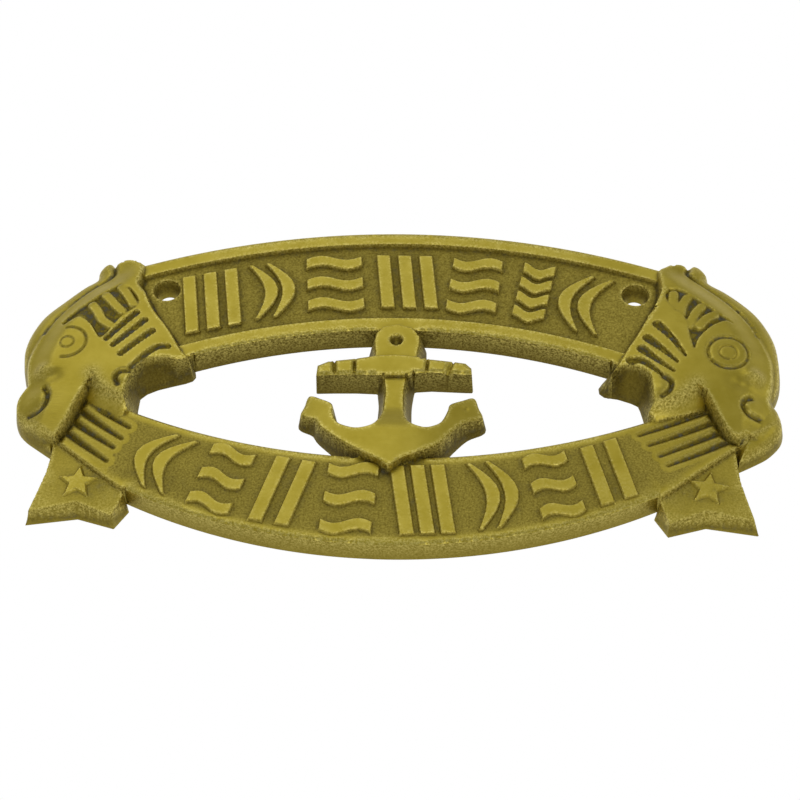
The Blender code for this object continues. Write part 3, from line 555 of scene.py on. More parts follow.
def arc_path(centre, ring):
    """Points round a centre between two angles."""
    radius, start, end, _ = ring
    turn = np.radians(np.linspace(start, end, 25))
    return np.stack([centre[0] + radius * np.cos(turn), centre[1] + radius * np.sin(turn)], 1)


def closed(drawing, *names):
    """One closed outline from smooth lines that share their end points."""
    return np.vstack([smooth_line(drawing[name])[:-1] for name in names])


for drawing in HEADS.values():
    drawing["face_edge"] = closed(drawing, "fin", "scoop", "jaw", "mouth", "lip", "brow", "curl")
    drawing["back_edge"] = np.vstack([smooth_line(drawing["back"]), drawing["hidden"]])
    for name in ("groove", "hook", "comma", "mouth", "jaw"):
        drawing[name + "_path"] = smooth_line(drawing[name])
    drawing["brow_path"] = smooth_line(drawing["lip"][3:] + drawing["brow"][1:])
    for name in ("tongues", "gills", "flutes"):
        drawing[name + "_paths"] = [smooth_line(line) for line in drawing[name]]
    drawing["strip_edge"] = smooth_line(drawing["strip"] + drawing["strip"][:1])[:-1]
    drawing["foot_edge"] = np.array(drawing["foot"])
    drawing["slope_edge"] = np.array(drawing["slope"])
    drawing["rings"] = [(arc_path(drawing["eye"], drawing[name]), drawing[name][3])
                        for name in ("outer_ring", "inner_ring")]


def dome(q):
    """A stretched sphere, sunk so that its edge would be well behind the face."""
    across = (q[:, 0] - DOME_CENTRE[0]) / DOME_HALF[0]
    up = (q[:, 1] - DOME_CENTRE[1]) / DOME_HALF[1]
    return DOME_SINK + (HEAD - DOME_SINK) * np.sqrt(np.clip(1.0 - across ** 2 - up ** 2, 0.0, 1.0))


def spot(q, centre, width):
    """A round bell about a centre."""
    return bell(np.hypot(q[:, 0] - centre[0], q[:, 1] - centre[1]), width)


def cut(q, path, depth, width, taper=0.0):
    """A groove along a path, which may narrow and shallow towards its second end."""
    distance, share = along(q, path)
    size = 1.0 - taper * share
    return depth * size * bell(distance, width * np.maximum(size, 0.3))


def slot(q, path, depth, half, taper=0.0):
    """A groove with a flat floor and steep sides, which may narrow towards its second end."""
    distance, share = along(q, path)
    return depth * ease((half * (1.0 - taper * share) - distance) / SLOT_SIDE + 0.5)


def carving(q, drawing):
    """How much the carver has taken off the face: the strip between the tongues, and every line."""
    tongue = np.zeros(len(q))
    for path in drawing["tongues_paths"]:
        tongue = np.maximum(tongue, ease((TONGUE_HALF - along(q, path)[0]) / 0.8))
    depth = STRIP_DEPTH * ease(0.2 - inside(q, drawing["strip_edge"]) / 0.7) * (1.0 - 0.95 * tongue)
    for path in drawing["gills_paths"]:
        depth = np.maximum(depth, slot(q, path, 0.95, *drawing["gill"]))
    for path, width in drawing["rings"]:
        depth = np.maximum(depth, cut(q, path, 1.2 * width, width))
    depth = np.maximum(depth, cut(q, drawing["hook_path"], 1.1, 0.75))
    depth = np.maximum(depth, cut(q, drawing["groove_path"], 0.9, 0.7, 0.3))
    return np.maximum(depth, cut(q, drawing["comma_path"], 1.1, 0.7))


def face_height(q, drawing):
    """The dome, rounded off towards the brow, with its carving, bulge, hollow and knob."""
    height = dome(q) - BROW_FALL * (1.0 - ease(along(q, drawing["brow_path"])[0] / BROW_RUN))
    height = height + 1.5 * spot(q, drawing["bulge"], 2.8) - 0.8 * spot(q, drawing["hollow"], 2.4)
    return height + 0.35 * spot(q, drawing["knob"], 1.8) - carving(q, drawing)


def head_height(q, drawing):
    face = inside(q, drawing["face_edge"])
    top = face_height(q, drawing)
    steep = cast_edge(face, top, FACE_LEAN, FACE_ARRIS)
    leaning = lean_share(inside(q, drawing["foot_edge"]), face) * (top - FACE_ARRIS)
    leaning = np.where(face < 0.0, 0.0, leaning)
    back = inside(q, drawing["back_edge"])
    bend = np.clip(1.0 + back / ROLL_WIDTH, 0.0, 1.0)
    roll = np.where(back < 0.0, ROLL_LOW + ROLL_RISE * np.sqrt(1.0 - bend ** 2),
                    ROLL_LOW * np.clip(1.0 - back / WALL_LEAN, 0.0, 1.0))
    from_jaw = along(q, drawing["jaw_path"])[0]
    on_slope = inside(q, drawing["slope_edge"]) < SLOPE_MARGIN
    slope = np.where(on_slope, top - 0.4 - SLOPE_FALL * from_jaw, 0.0)
    roll = roll - cut(q, drawing["groove_path"], GROOVE_DEPTH, 0.7, 0.3) * (back < 0.0)
    return np.maximum.reduce([steep, leaning, roll, slope])


def head_foot(q, drawing):
    return np.minimum.reduce([inside(q, drawing["back_edge"]) - WALL_LEAN,
                              inside(q, drawing["slope_edge"]) - SLOPE_MARGIN,
                              inside(q, drawing["foot_edge"]), inside(q, drawing["face_edge"])])


def flutes(q, drawing):
    """What the flutes and the hollow beside the mouth take off the lower band."""
    depth = np.zeros(len(q))
    for path in drawing["flutes_paths"]:
        depth = np.maximum(depth, cut(q, path, 1.5, 1.0, 0.5))
    return np.maximum(depth, 1.8 * bell(along(q, drawing["mouth_path"])[0], 1.4))


# %% [markdown]
# ## The whole casting
#
# The casting's height at a point is the highest of its forms there. Its footprint is the union of
# theirs, less the two screw holes.

# %% Height and footprint
HOLE_X = 72.8
HOLE_Z = TOP_EDGE - drop(HOLE_X, TOP_RADIUS) - 12.2
HOLE_RADIUS = 3.0
SIDES_FROM = 55.0
MOUTH_RADIUS = 4.3
MOUTH_DEPTH = 3.35


def from_hole(p):
    return np.hypot(np.abs(p[:, 0]) - HOLE_X, p[:, 1] - HOLE_Z)


def mirrored(p, side):
    """The points of one side, told as if they were on the right."""
    chosen = p[:, 0] * side > SIDES_FROM
    return chosen, p[chosen] * (side, 1.0)


def casting_height(p):
    height = ring_height(p)
    for side, drawing in HEADS.items():
        chosen, q = mirrored(p, side)
        low = height[chosen]
        low = np.where(low < PLATE - 0.5, np.where(low > 4.0, low - flutes(q, drawing), low), low)
        height[chosen] = np.maximum.reduce([low, tail_height(q, side), head_height(q, drawing)])
    height = np.maximum(height, stroke_height(p, upper_strokes, PLATE - FIELD_DEPTH, PLATE))
    height = np.maximum(height, stroke_height(p, lower_strokes, LOW_BAND, LOW_BAND + LOW_STROKE_RISE))
    height = np.maximum(height, anchor_height(p))
    mouth = PLATE - FIELD_DEPTH - MOUTH_DEPTH * (MOUTH_RADIUS - from_hole(p)) / (MOUTH_RADIUS - HOLE_RADIUS)
    return np.where(from_hole(p) < MOUTH_RADIUS, np.minimum(height, np.maximum(mouth, 3.0)), height)


def footprint(p):
    edges = np.minimum(upper_band(p), lower_band(p)) - WALL_LEAN
    edges = np.minimum(edges, anchor_foot(p))
    for side, drawing in HEADS.items():
        chosen, q = mirrored(p, side)
        edges[chosen] = np.minimum.reduce([edges[chosen], head_foot(q, drawing), inside(q, tail_foot)])
    return np.maximum(edges, HOLE_RADIUS - from_hole(p))


# %% [markdown]
# ## From heights to a mesh
#
# A plain grid would leave every edge in steps. So points start on a close hexagonal grid, and those
# near an edge slide onto it: each moves along the slope of the distance until the distance has the
# wanted value. Flat places between the heads keep only one point in four. A Delaunay triangulation
# joins them up.

# %% Points
PITCH = 0.5
HEAD_PITCH = 0.395
HEAD_FROM = 60.0
RIM_PITCH = 0.34
SLIDE_STEP = 0.02
EDGE_GAP = 0.22


def hexagonal_grid(low, high, pitch):
    """Rows a pitch times root three over two apart, every other one moved along by half a pitch."""
    rows = np.arange(low[1], high[1], pitch * math.sqrt(3) / 2)
    columns = np.arange(low[0], high[0], pitch)
    i, j = np.meshgrid(np.arange(len(columns)), np.arange(len(rows)))
    x = columns[i] + 0.5 * pitch * (j % 2)
    coarse = (j % 2 == 0) & (i % 2 == (j // 2) % 2)
    return np.stack([x.ravel(), rows[j].ravel()], 1), coarse.ravel()


def slide(p, measure, level, turns=2):
    """Newton's step: move against the slope by what is left of the distance, and again."""
    for _ in range(turns):
        here = measure(p)
        slope = np.stack([measure(p + step) - here
                          for step in ((SLIDE_STEP, 0.0), (0.0, SLIDE_STEP))], 1) / SLIDE_STEP
        size = np.maximum((slope ** 2).sum(1, keepdims=True), 0.25)
        p = p + np.clip(slope * (level - here)[:, None] / size, -PITCH, PITCH)
    return p


def thin_out(p, size):
    """Keep one point in each cell of a square grid, and again with the grid moved by half a cell."""
    for shift in (0.0, 0.5):
        cells = np.floor(p / size + shift).astype(int)
        p = p[np.unique(cells, axis=0, return_index=True)[1]]
    return p


low_corner, high_corner = (-118.0, -54.0), (118.0, 70.0)
middle, middle_coarse = hexagonal_grid(low_corner, high_corner, PITCH)
ends, _ = hexagonal_grid(low_corner, high_corner, HEAD_PITCH)
in_middle = np.abs(middle[:, 0]) < HEAD_FROM
ends = ends[np.abs(ends[:, 0]) > HEAD_FROM]
grid = np.vstack([middle[in_middle], ends])
coarse = np.concatenate([middle_coarse[in_middle], np.zeros(len(ends), bool)])
from_foot = footprint(grid)
rim = thin_out(slide(grid[np.abs(from_foot) < PITCH / 2], footprint, 0.0, 3), RIM_PITCH)
arris = slide(rim, footprint, -WALL_LEAN)
well_inside = from_foot < -WALL_LEAN - EDGE_GAP
points, coarse = grid[well_inside], coarse[well_inside]
print("Grid points on the sign:", len(points), "and along its outer edge:", len(rim))

# %% [markdown]
# Every edge gets matched rows of points: one row slides onto the edge, and the others are that row
# moved square to it, so that the triangles of a wall stand side by side. The edges come in order of
# importance, and a later row gives way where an earlier one runs.

# %% Rows along the edges
def on_heads(measure):
    """A distance on both heads' drawings, as a distance in the plan."""
    def both(p):
        result = np.full(len(p), FAR)
        for side, drawing in HEADS.items():
            chosen, q = mirrored(p, side)
            result[chosen] = measure(q, side, drawing)
        return result
    return both


def cell_of(p, size):
    """A number for the square cell in which each point lies."""
    cells = np.floor(p / size).astype(int)
    return cells[:, 0] * 100000 + cells[:, 1]


EDGES = (
    (on_heads(lambda q, side, d: inside(q, d["face_edge"])), (0.0, FACE_LEAN, -FACE_ARRIS)),
    (on_heads(lambda q, side, d: inside(q, star_outline(*STARS[side]))), (0.0, 0.4, -0.3)),
    (on_heads(lambda q, side, d: inside(q, tail_face)), (0.0,)),
    (lambda p: inside(p, body_edge), (0.0, -BAND_ARRIS)),
    (lambda p: inside(p, stock_edge), (0.0, WALL_LEAN, -STOCK_ARRIS)),
    (lambda p: inside(p, lobe_edge), (0.0, -BAND_ARRIS)),
    (lambda p: strokes(p, upper_strokes), (0.0, STROKE_LEAN, -STROKE_ARRIS)),
    (lambda p: strokes(p, lower_strokes), (0.0, STROKE_LEAN, -STROKE_ARRIS)),
    (field, (0.0, -FIELD_RAMP)),
    (upper_band, (0.0, WALL_LEAN, -BAND_ARRIS)),
    (lower_band, (0.0, WALL_LEAN, -BAND_ARRIS)),
    (from_hole, (MOUTH_RADIUS, 3.65)),
)
CLEAR = 0.26
HEADS_FROM_Z = -26.0
BESIDE_EDGE = 0.8
rows = [rim, arris]
taken = cell_of(np.vstack(rows), CLEAR)
free = np.ones(len(points), bool)
edge_distance = np.full(len(points), FAR)
pitch = np.where(np.abs(points[:, 0]) > HEAD_FROM, HEAD_PITCH, PITCH)
for measure, levels in EDGES:
    values = measure(points)
    near = np.abs(values - levels[0]) < pitch * 0.55
    row = thin_out(slide(points[near], measure, levels[0], 3), RIM_PITCH)
    matched = np.vstack([row] + [slide(row, measure, level) for level in levels[1:]])
    matched = matched[footprint(matched) < -WALL_LEAN - 0.1]
    matched = matched[~np.isin(cell_of(matched, CLEAR), taken)]
    rows.append(matched)
    taken = np.concatenate([taken, cell_of(matched, CLEAR)])
    free &= (values < min(levels) - 0.4 * pitch) | (values > max(levels) + 0.4 * pitch)
    edge_distance = np.minimum(edge_distance, np.abs(values - levels[0]))
in_heads = (pitch < PITCH) & (points[:, 1] > HEADS_FROM_Z)
wanted = coarse | in_heads | (anchor_foot(points) < 0.0) | (edge_distance < BESIDE_EDGE)
points = np.vstack(rows + [points[free & wanted]])
on_rim = np.arange(len(points)) < len(rim)
print("Points kept:", len(points), "in rows:", sum(len(row) for row in rows))

# %% Triangles of the front
def delaunay(pts, edges=()):
    """Blender's own Delaunay triangulation, which keeps to the edges given. The points come back as it
    leaves them, with the first source of each."""
    out = geometry.delaunay_2d_cdt(pts.tolist(), list(edges), [], 0, 1e-6)
    sources = np.array([source[0] if source else -1 for source in out[3]])
    return np.array([tuple(v) for v in out[0]]), np.array(out[2]), sources


plan, triangles, sources = delaunay(points)
on_rim = on_rim[np.maximum(sources, 0)] & (sources >= 0)
middles = plan[triangles].mean(1)
front = triangles[(footprint(middles) < 0.0) & ~on_rim[triangles].all(1)]


def open_edges(faces):
    """The edges that only one face uses, in the direction in which that face runs."""
    sides = np.vstack([faces[:, [0, 1]], faces[:, [1, 2]], faces[:, [2, 0]]])
    ordered = np.sort(sides, axis=1)
    _, first, counts = np.unique(ordered[:, 0] * len(plan) + ordered[:, 1], return_index=True,
                                 return_counts=True)
    return sides[first[counts == 1]]


# A triangle with all its corners on the outer edge would lie flat on the back, so it goes
flat = np.isin(front, open_edges(front)).all(1)
front = front[~flat]
border = open_edges(front)
height = casting_height(plan)
height[np.unique(border)] = 0.0
print("Front triangles:", len(front), "edge length of the rim in points:", len(border))

# %% [markdown]
# The back isn't seen, and is taken as ground flat, as a casting that sits on a bulkhead would be. It
# needs few triangles: the outer edge's own points, so that the two halves share them, and a wide
# grid between. A triangle belongs to the back if the outer edge encloses its middle.

# %% Triangles of the back
BACK_PITCH = 3.0
BACK_GAP = 1.2
BACK_SHARES = 8
rim_ids, rim_pairs = np.unique(border, return_inverse=True)
rim_pairs = rim_pairs.reshape(-1, 2)
wide, _ = hexagonal_grid(low_corner, high_corner, BACK_PITCH)
wide = wide[footprint(wide) < -BACK_GAP]
back_plan = np.vstack([plan[rim_ids], wide])
back_points, back_triangles, sources = delaunay(back_plan, [tuple(pair) for pair in rim_pairs.tolist()])
start, end = plan[border].transpose(1, 0, 2)
parts = np.array_split(back_points[back_triangles].mean(1), BACK_SHARES)
back_triangles = back_triangles[np.concatenate([enclosed(part, start, end) for part in parts])]
print("Back triangles:", len(back_triangles), "points added by crossings:", int((sources < 0).sum()))

# %% The closed mesh
back_ids = np.where(sources < len(rim_ids), rim_ids[np.minimum(sources, len(rim_ids) - 1)],
                    len(plan) + sources - len(rim_ids))
all_plan = np.vstack([plan, wide])
all_height = np.concatenate([height, np.zeros(len(wide))])
all_faces = np.vstack([front, back_ids[back_triangles][:, ::-1]])
used, all_faces = np.unique(all_faces, return_inverse=True)
all_faces = all_faces.reshape(-1, 3)
all_plan, all_height = all_plan[used], all_height[used]
place = np.stack([all_plan[:, 0], -all_height, all_plan[:, 1] - ORIGIN_RISE], 1) / 1000.0

pairs = np.sort(np.vstack([all_faces[:, [0, 1]], all_faces[:, [1, 2]], all_faces[:, [2, 0]]]), axis=1)
edge_list, uses = np.unique(pairs, axis=0, return_counts=True)
corners = place[all_faces]
volume = np.einsum("ij,ij->i", corners[:, 0], np.cross(corners[:, 1], corners[:, 2])).sum() / 6
print("Edges not shared by two faces:", int((uses != 2).sum()), "volume cm3:", round(volume * 1e6, 2))

mesh = bpy.data.meshes.new("brass_relief")
mesh.from_pydata(place, [], all_faces)
casting = bpy.data.objects.new("brass_relief", mesh)
bpy.context.scene.collection.objects.link(casting)
mesh.shade_smooth()
mesh.set_sharp_from_angle(angle=math.radians(38))
print("Triangles in all:", len(mesh.polygons))

# %% [markdown]
# ## Where the belt reached, and where it didn't
#
# Five numbers go with the mesh and steer its finish, and its painted light and shade. Polish says where
# the belt touched: rims, strokes, heads, tails, anchor, outer walls and the back. The next says where the
# sign is darkened: dirt in the carving, whose own depth gives it, and painted shade at the foot of every
# step. Shade says how far a place lies below its wider surroundings, and is painted there as shade.
# Another marks the arrises and the rough bright patches, partly real wear and partly painted highlight,
# and wall marks the steep faces, which are painted darker as shade, most of all inside the window.

# %% Numbers for the finish and the painted light and shade
NEAR_ROUNDS = 8
WIDE_ROUNDS = 40
ARRIS_FALL = 0.3
CARVED_DEPTH = 0.8
FLUTE_REACH = 2.6
STEP_DEPTH = 1.0
SHADE_DEPTH = 1.5
WEAR_AND_HIGHLIGHT_RISE = 0.32
upward = np.cross(corners[:, 1] - corners[:, 0], corners[:, 2] - corners[:, 0])
upward /= np.maximum(np.linalg.norm(upward, axis=1, keepdims=True), 1e-12)
is_front = np.arange(len(all_faces)) < len(front)
wall = np.clip((0.80 + upward[:, 1]) / 0.45, 0.0, 1.0) * is_front
wall_round = np.bincount(all_faces.ravel(), np.repeat(wall, 3)) / np.bincount(all_faces.ravel())


def spread(values, rounds):
    """The mean of each value with its neighbours', again and again."""
    a, b = edge_list.T
    ways = np.bincount(np.concatenate([a, b]), minlength=len(values))
    for _ in range(rounds):
        total = np.bincount(a, values[b], len(values)) + np.bincount(b, values[a], len(values))
        values = 0.5 * values + 0.5 * total / ways
    return values


at_foot = all_height <= 0.0
a, b = edge_list.T
rim_top = np.zeros(len(all_height))
np.maximum.at(rim_top, a, all_height[b])
np.maximum.at(rim_top, b, all_height[a])
skin_height = np.where(at_foot, rim_top - ARRIS_FALL, all_height)
near_mean = spread(skin_height, NEAR_ROUNDS)
wide_mean = spread(skin_height, WIDE_ROUNDS)
on_skin = (1.0 - wall_round) * ~at_foot
# Painted shade: the foot of every step is darkened by how far it lies below its near surroundings.
step_foot = np.clip((near_mean - skin_height) / STEP_DEPTH, 0.0, 1.0)
cut_away = np.zeros(len(all_plan))
rough_and_highlight_patch = np.zeros(len(all_plan))
fluted = np.zeros(len(all_plan))
for side, drawing in HEADS.items():
    chosen, q = mirrored(all_plan, side)
    cut_away[chosen] = np.where(inside(q, drawing["face_edge"]) < 0.3, carving(q, drawing), 0.0)
    on_low_band = (all_height[chosen] < PLATE - 0.5) * (lower_band(all_plan[chosen]) < 0.0)
    # Darker along the brow's groove, counted with the carving's depth.
    brow_groove_dark = 0.9 * bell(along(q, drawing["groove_path"])[0], 0.8)
    cut_away[chosen] = np.maximum.reduce([cut_away[chosen], flutes(q, drawing) * on_low_band, brow_groove_dark])
    from_flute = np.minimum.reduce([along(q, path)[0] for path in drawing["flutes_paths"]])
    fluted[chosen] = from_flute < FLUTE_REACH
    from_jaw = along(q, drawing["jaw_path"])[0]
    from_mouth = along(q, drawing["mouth_path"])[0]
    from_band_end = np.abs(beyond(all_plan[chosen], TAPER))
    # Rough patches by the jaw, the bulge, the band's end and the mouth: raw skin, lightened as painted
    # highlight.
    rough_and_highlight_patch[chosen] = np.maximum.reduce([bell(from_jaw, 2.6), spot(q, drawing["bulge"], 2.6),
                                             0.8 * bell(from_band_end, 0.7), 0.8 * bell(from_mouth, 0.7)])
# Dirt in the carving, and painted shade at the foot of every step.
dirt_and_shade = np.clip(np.maximum(cut_away / CARVED_DEPTH, step_foot), 0.0, 1.0)
dirt_and_shade = dirt_and_shade * np.maximum(on_skin, 0.35) * ~at_foot
# Painted shade: how far a place lies below its wider surroundings.
shade = np.clip((wide_mean - skin_height) / SHADE_DEPTH, 0.0, 1.0) * on_skin
# Bright arrises and rough patches: partly real wear, partly painted highlight.
wear_and_highlight = np.clip((skin_height - near_mean) / WEAR_AND_HIGHLIGHT_RISE, 0.0, 1.0) * ~at_foot
wear_and_highlight = np.maximum(wear_and_highlight, 0.9 * rough_and_highlight_patch) * ~at_foot
in_field = np.maximum(ease(0.5 - upper_band(all_plan)) * ease(0.3 - field(all_plan) / 0.6),
                      ease(-(lower_band(all_plan) + 1.2) / 2.4))
on_stroke = np.maximum(ease(0.5 - strokes(all_plan, upper_strokes) / 0.4),
                       ease(0.5 - strokes(all_plan, lower_strokes) / 0.4))
raised = ease((all_height - PLATE - 0.1) / 0.5)
on_tail = ease((TAIL + 0.5 - all_height) / 0.4) * (np.abs(all_plan[:, 0]) > 70.0)
polish = np.clip(1.0 - in_field * (1.0 - on_stroke) * (1.0 - raised), 0.0, 1.0) * (1.0 - 0.45 * on_tail)
polish = np.maximum(polish, 0.75 * fluted) * (1.0 - 0.8 * np.clip(rough_and_highlight_patch, 0.0, 1.0))
polish = np.where(at_foot, 1.0, polish)
middle_plan = all_plan[all_faces].mean(1)
under_top = 0.7 - arch(middle_plan, WINDOW_TOP, WINDOW_TOP_RADIUS)
over_low = 0.7 - bowl(middle_plan, WINDOW_LOW, WINDOW_LOW_RADIUS)
in_window = ease(under_top) * ease(over_low)
# Steep walls count less outside the window, so the walls inside it stay raw and are painted darkest as
# shade.
wall = wall * (0.35 + 0.65 * in_window)
for name, values, domain in (("polish", polish, "POINT"), ("dirt_and_shade", dirt_and_shade, "POINT"),
                             ("shade", shade, "POINT"), ("wear_and_highlight", wear_and_highlight, "POINT"), ("wall", wall, "FACE")):
    layer = mesh.attributes.new(name, "FLOAT", domain)
    layer.data.foreach_set("value", values.astype(np.float32))
    print(f"{name}: mean {values.mean():.3f}")

# %% [markdown]
# ## The brass
#
# Yellow brass, about two parts copper to one of zinc, sand cast and then dressed on a fine belt. To
# the eye that is a warm metal with an olive cast, a satin gloss where the belt passed, and a dull
# grain elsewhere, since cast sand leaves a skin that is pitted at about half a millimetre. Polishing
# paste and years of dust stay in the grooves as a grey-blue film, which is no metal at all.

# %% Material
def colour(hex_code):
    """sRGB hex to linear: each channel's code value, less the display curve."""
    values = [int(hex_code[i:i + 2], 16) / 255 for i in (1, 3, 5)]
    return tuple(v / 12.92 if v <= 0.04045 else ((v + 0.055) / 1.055) ** 2.4 for v in values) + (1.0,)


def add(tree, kind, output, inputs=None, **settings):
    """Add a node and give back one output: settings are its own, inputs are values or other outputs."""
    node = tree.nodes.new(kind)
    for name, value in settings.items():
        setattr(node, name, value)
    for name, value in (inputs or {}).items():
        if isinstance(value, bpy.types.NodeSocket):
            tree.links.new(value, node.inputs[name])
        else:
            node.inputs[name].default_value = value
    return node.outputs[output]


# The sand's grain is about 0.4 mm, too fine to show in a picture of the whole sign, so it is drawn
# a little coarser
PER_MM = 1000.0
SAND_GRAIN = 0.65
CASTING_PITS = 2.2
TARNISH = 9.0
BELT_MARK = 0.35
MATH, MIX, RAMP, NOISE = "ShaderNodeMath", "ShaderNodeMix", "ShaderNodeMapRange", "ShaderNodeTexNoise"
material = bpy.data.materials.new("sand_cast_brass")
material.use_nodes = True
tree = material.node_tree
shader = tree.nodes["Principled BSDF"]
place_on_sign = add(tree, "ShaderNodeTexCoord", "Object")
polish_at, dirt_and_shade_at, shade_at, wear_and_highlight_at, wall_at = (
    add(tree, "ShaderNodeAttribute", "Fac", attribute_name=name)
    for name in ("polish", "dirt_and_shade", "shade", "wear_and_highlight", "wall"))
grain = add(tree, NOISE, "Fac", {"Vector": place_on_sign, "Scale": PER_MM / SAND_GRAIN, "Detail": 3.0,
                                 "Roughness": 0.7})
pits = add(tree, NOISE, "Fac", {"Vector": place_on_sign, "Scale": PER_MM / CASTING_PITS, "Detail": 4.0,
                                "Roughness": 0.65})
tarnish = add(tree, NOISE, "Fac", {"Vector": place_on_sign, "Scale": PER_MM / TARNISH, "Detail": 5.0,
                                   "Roughness": 0.6})
belt_run = add(tree, "ShaderNodeMapping", "Vector", {"Vector": place_on_sign, "Scale": (0.06, 1.0, 1.0)})
belt = add(tree, NOISE, "Fac", {"Vector": belt_run, "Scale": PER_MM / BELT_MARK, "Detail": 2.0})

# %% [markdown]
# The mesh's numbers and the patterns meet in a share for each finish, from 0 to 1: bare sand skin,
# dirt with painted shade, painted shade on walls and hollows, the grey-blue film, and the places rubbed
# bright, which are partly painted highlight. The patterns break up every border, because dirt and wear
# never stop at a line.

# %% Where each finish, painted shade and painted highlight shows
not_wall = add(tree, MATH, "Value", {0: 1.0, 1: wall_at}, operation="SUBTRACT")
dressed = add(tree, MATH, "Value", {0: polish_at, 1: not_wall}, operation="MULTIPLY")
raw = add(tree, MATH, "Value", {0: 1.0, 1: dressed}, operation="SUBTRACT")
speckle = add(tree, RAMP, "Result", {"Value": grain, "From Min": 0.28, "From Max": 0.72})
patches = add(tree, RAMP, "Result", {"Value": pits, "From Min": 0.3, "From Max": 0.62, "To Min": 0.35})
# Dark brown over the carving's dirt and the painted shade at the foot of steps.
dark_dirt_and_shade = add(tree, MATH, "Value", {0: dirt_and_shade_at, 1: patches}, operation="MULTIPLY")
residue = add(tree, RAMP, "Result", {"Value": pits, "From Min": 0.48, "From Max": 0.74})
filmed = add(tree, MATH, "Value", {0: dirt_and_shade_at, 1: residue}, operation="MULTIPLY")
# Bright specks on the arrises and rough patches: partly real wear, partly painted highlight.
bright_specks = add(tree, RAMP, "Result", {"Value": grain, "From Min": 0.40, "From Max": 0.66})
rubbed_and_highlight = add(tree, MATH, "Value", {0: wear_and_highlight_at, 1: bright_specks}, operation="MULTIPLY")
# Painted shade where a place lies below its wider surroundings, stronger on the raw skin.
hidden_from_belt = add(tree, RAMP, "Result", {"Value": raw, "To Min": 0.15, "To Max": 0.6})
shaded = add(tree, MATH, "Value", {0: shade_at, 1: hidden_from_belt}, operation="MULTIPLY")
clouds = add(tree, RAMP, "Result", {"Value": tarnish, "From Min": 0.3, "From Max": 0.7})
# Painted shade on the steep walls, darkest inside the window.
painted_wall_shade = add(tree, MATH, "Value", {0: wall_at, 1: 0.62}, operation="MULTIPLY")
print("Nodes for the finishes:", len(tree.nodes))

# %% [markdown]
# The colours lie one over another: metal first, then painted shade on the walls and in the hollows,
# dark dirt with painted shade, the grey-blue film, and the rubbed arrises last, because handling
# cleans what stands proud; these are partly painted highlight.

# %% Colours
# Over the metal: painted wall shade, painted hollow shade, dark dirt with painted shade, the film, and
# bright wear with painted highlight.
LAYERS = ((painted_wall_shade, "#5A4A18"), (shaded, "#51441A"), (dark_dirt_and_shade, "#3A3012"), (filmed, "#77796B"),
          (rubbed_and_highlight, "#EADB7C"))
skin = add(tree, MIX, 2, {"Factor": speckle, 6: colour("#85762C"), 7: colour("#CDBC58")}, data_type="RGBA")
face = add(tree, MIX, 2, {"Factor": clouds, 6: colour("#AE9C34"), 7: colour("#C1AF46")}, data_type="RGBA")
tone = add(tree, MIX, 2, {"Factor": dressed, 6: skin, 7: face}, data_type="RGBA")
for share, hex_code in LAYERS:
    tone = add(tree, MIX, 2, {"Factor": share, 6: tone, 7: colour(hex_code)}, data_type="RGBA")
tree.links.new(tone, shader.inputs["Base Color"])
print("Layers of colour over the metal:", len(LAYERS))

# %% [markdown]
# Belted brass is satin and the sand skin is dull. The film over the dirt isn't metal. Two bumps give
# the fine grain and the wider pits, strong on the skin and faint where the belt has passed.

# %% Gloss and grain
gloss = add(tree, RAMP, "Result", {"Value": raw, "To Min": 0.33, "To Max": 0.56})
gloss = add(tree, MATH, "Value", {0: dark_dirt_and_shade, 1: 0.25, 2: gloss}, operation="MULTIPLY_ADD")
gloss = add(tree, MATH, "Value", {0: belt, 1: 0.08, 2: gloss}, operation="MULTIPLY_ADD")
tree.links.new(gloss, shader.inputs["Roughness"])
tree.links.new(add(tree, RAMP, "Result", {"Value": filmed, "To Min": 1.0, "To Max": 0.2}),
               shader.inputs["Metallic"])
depth = add(tree, RAMP, "Result", {"Value": raw, "To Min": 0.06, "To Max": 1.0})
sand = add(tree, MATH, "Value", {0: grain, 1: depth}, operation="MULTIPLY")
fine = add(tree, "ShaderNodeBump", "Normal", {"Height": sand, "Strength": 0.7, "Distance": 0.00015})
waves = add(tree, MATH, "Value", {0: pits, 1: depth, 2: belt}, operation="MULTIPLY_ADD")
skin_bump = add(tree, "ShaderNodeBump", "Normal", {"Height": waves, "Strength": 0.35, "Distance": 0.00012,
                                                   "Normal": fine})
tree.links.new(skin_bump, shader.inputs["Normal"])
mesh.materials.append(material)
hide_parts("sign_casting")
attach(casting, "root")
print("Nodes in the brass:", len(tree.nodes))

# %% [markdown]
# ## The studio
#
# The photograph looks up at the sign from below, with nothing behind it but white. A white sky
# gives that, dimmer towards the ground so that the lower walls stay dark. Metal shows what it
# reflects, so one wide soft light stands where the faces mirror it towards the camera. Two smaller
# ones light the walls that face right and down.

# %% Camera, light and floor
scene = bpy.context.scene
CAMERA_PLACE = Vector((0.0307, -0.5207, -0.4253))
CAMERA_VIEW = Vector((-0.0439, 0.7750, 0.6304)).normalized()
CAMERA_RIGHT = Vector((0.9990, 0.0260, 0.0375))
camera = bpy.data.objects.new("camera", bpy.data.cameras.new("camera"))
camera.data.lens = 100.0
camera.data.sensor_width = 36.0
right = (CAMERA_RIGHT - CAMERA_VIEW * CAMERA_RIGHT.dot(CAMERA_VIEW)).normalized()
up = right.cross(CAMERA_VIEW)
turn = Matrix((right, up, -CAMERA_VIEW)).transposed()
camera.matrix_world = Matrix.Translation(CAMERA_PLACE) @ turn.to_4x4()
scene.collection.objects.link(camera)
scene.camera = camera
scene.view_settings.view_transform = "Standard"

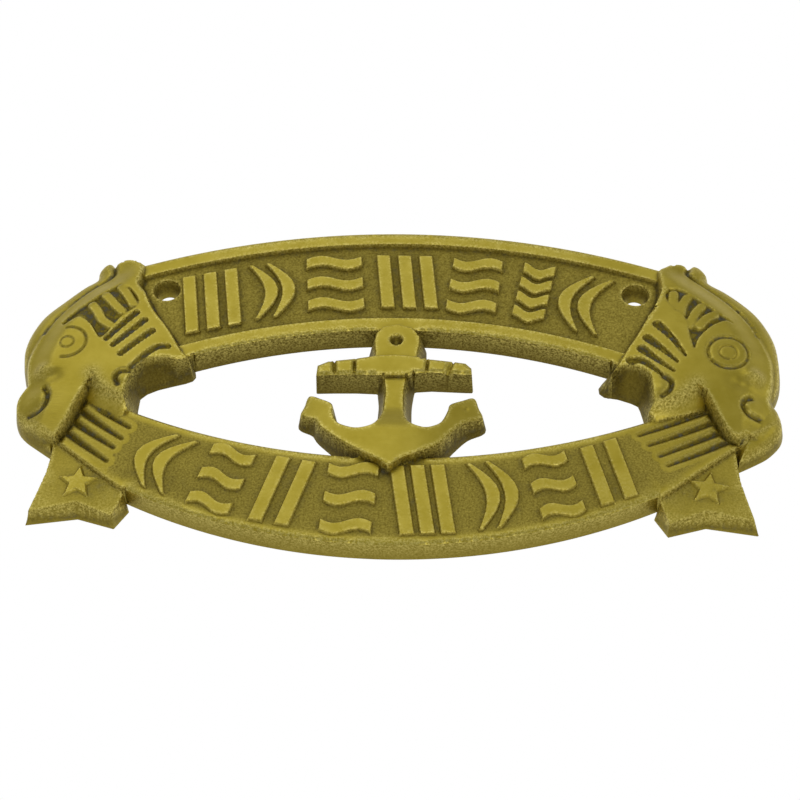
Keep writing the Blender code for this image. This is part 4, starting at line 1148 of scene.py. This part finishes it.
world = bpy.data.worlds.new("studio")
scene.world = world
world.use_nodes = True
sky = world.node_tree
direction = add(sky, "ShaderNodeTexCoord", "Generated")
toward = add(sky, "ShaderNodeSeparateXYZ", "Z", {"Vector": direction}).node
from_above = add(sky, RAMP, "Result", {"Value": toward.outputs["Z"], "From Min": -0.35, "From Max": 0.25,
                                       "To Min": 0.25})
from_behind = add(sky, RAMP, "Result", {"Value": toward.outputs["Y"], "From Min": -0.45, "From Max": 0.6,
                                        "To Min": 0.42})
strength = add(sky, MATH, "Value", {0: from_above, 1: from_behind}, operation="MULTIPLY")
sky.links.new(strength, sky.nodes["Background"].inputs["Strength"])
sky.nodes["Background"].inputs["Color"].default_value = (1.0, 1.0, 1.0, 1.0)


def soft_light(name, direction, distance, size, power):
    """An area light that faces the sign from a direction."""
    light = bpy.data.lights.new(name, "AREA")
    light.shape = "RECTANGLE"
    light.size, light.size_y = size
    light.energy = power
    lamp = bpy.data.objects.new(name, light)
    away = Vector(direction).normalized()
    turned = away.to_track_quat("Z", "Y").to_matrix().to_4x4()
    lamp.matrix_world = Matrix.Translation(away * distance) @ turned
    scene.collection.objects.link(lamp)


soft_light("key", (-0.25, -0.75, 0.62), 1.3, (1.1, 0.8), 1.6)
soft_light("fill", (0.9, -0.7, 0.2), 1.4, (0.8, 0.8), 0.9)
soft_light("front", (0.12, -0.74, -0.66), 1.25, (0.5, 0.4), 1.5)

FLOOR_LEVEL = -0.90
FLOOR_HALF = 4.0
corner_signs = ((-1, -1), (1, -1), (1, 1), (-1, 1))
floor_corners = [(FLOOR_HALF * x, FLOOR_HALF * y, FLOOR_LEVEL) for x, y in corner_signs]
floor_mesh = bpy.data.meshes.new("floor")
floor_mesh.from_pydata(floor_corners, [], [(0, 1, 2, 3)])
floor = bpy.data.objects.new("floor", floor_mesh)
paper = bpy.data.materials.new("pale_paper")
paper.use_nodes = True
paper.node_tree.nodes["Principled BSDF"].inputs["Base Color"].default_value = colour("#E6E4DF")
paper.node_tree.nodes["Principled BSDF"].inputs["Roughness"].default_value = 0.9
floor_mesh.materials.append(paper)
scene.collection.objects.link(floor)
print("Lights:", len(bpy.data.lights), "floor at", FLOOR_LEVEL, "m")

# %% The end
bpy.context.view_layer.update()
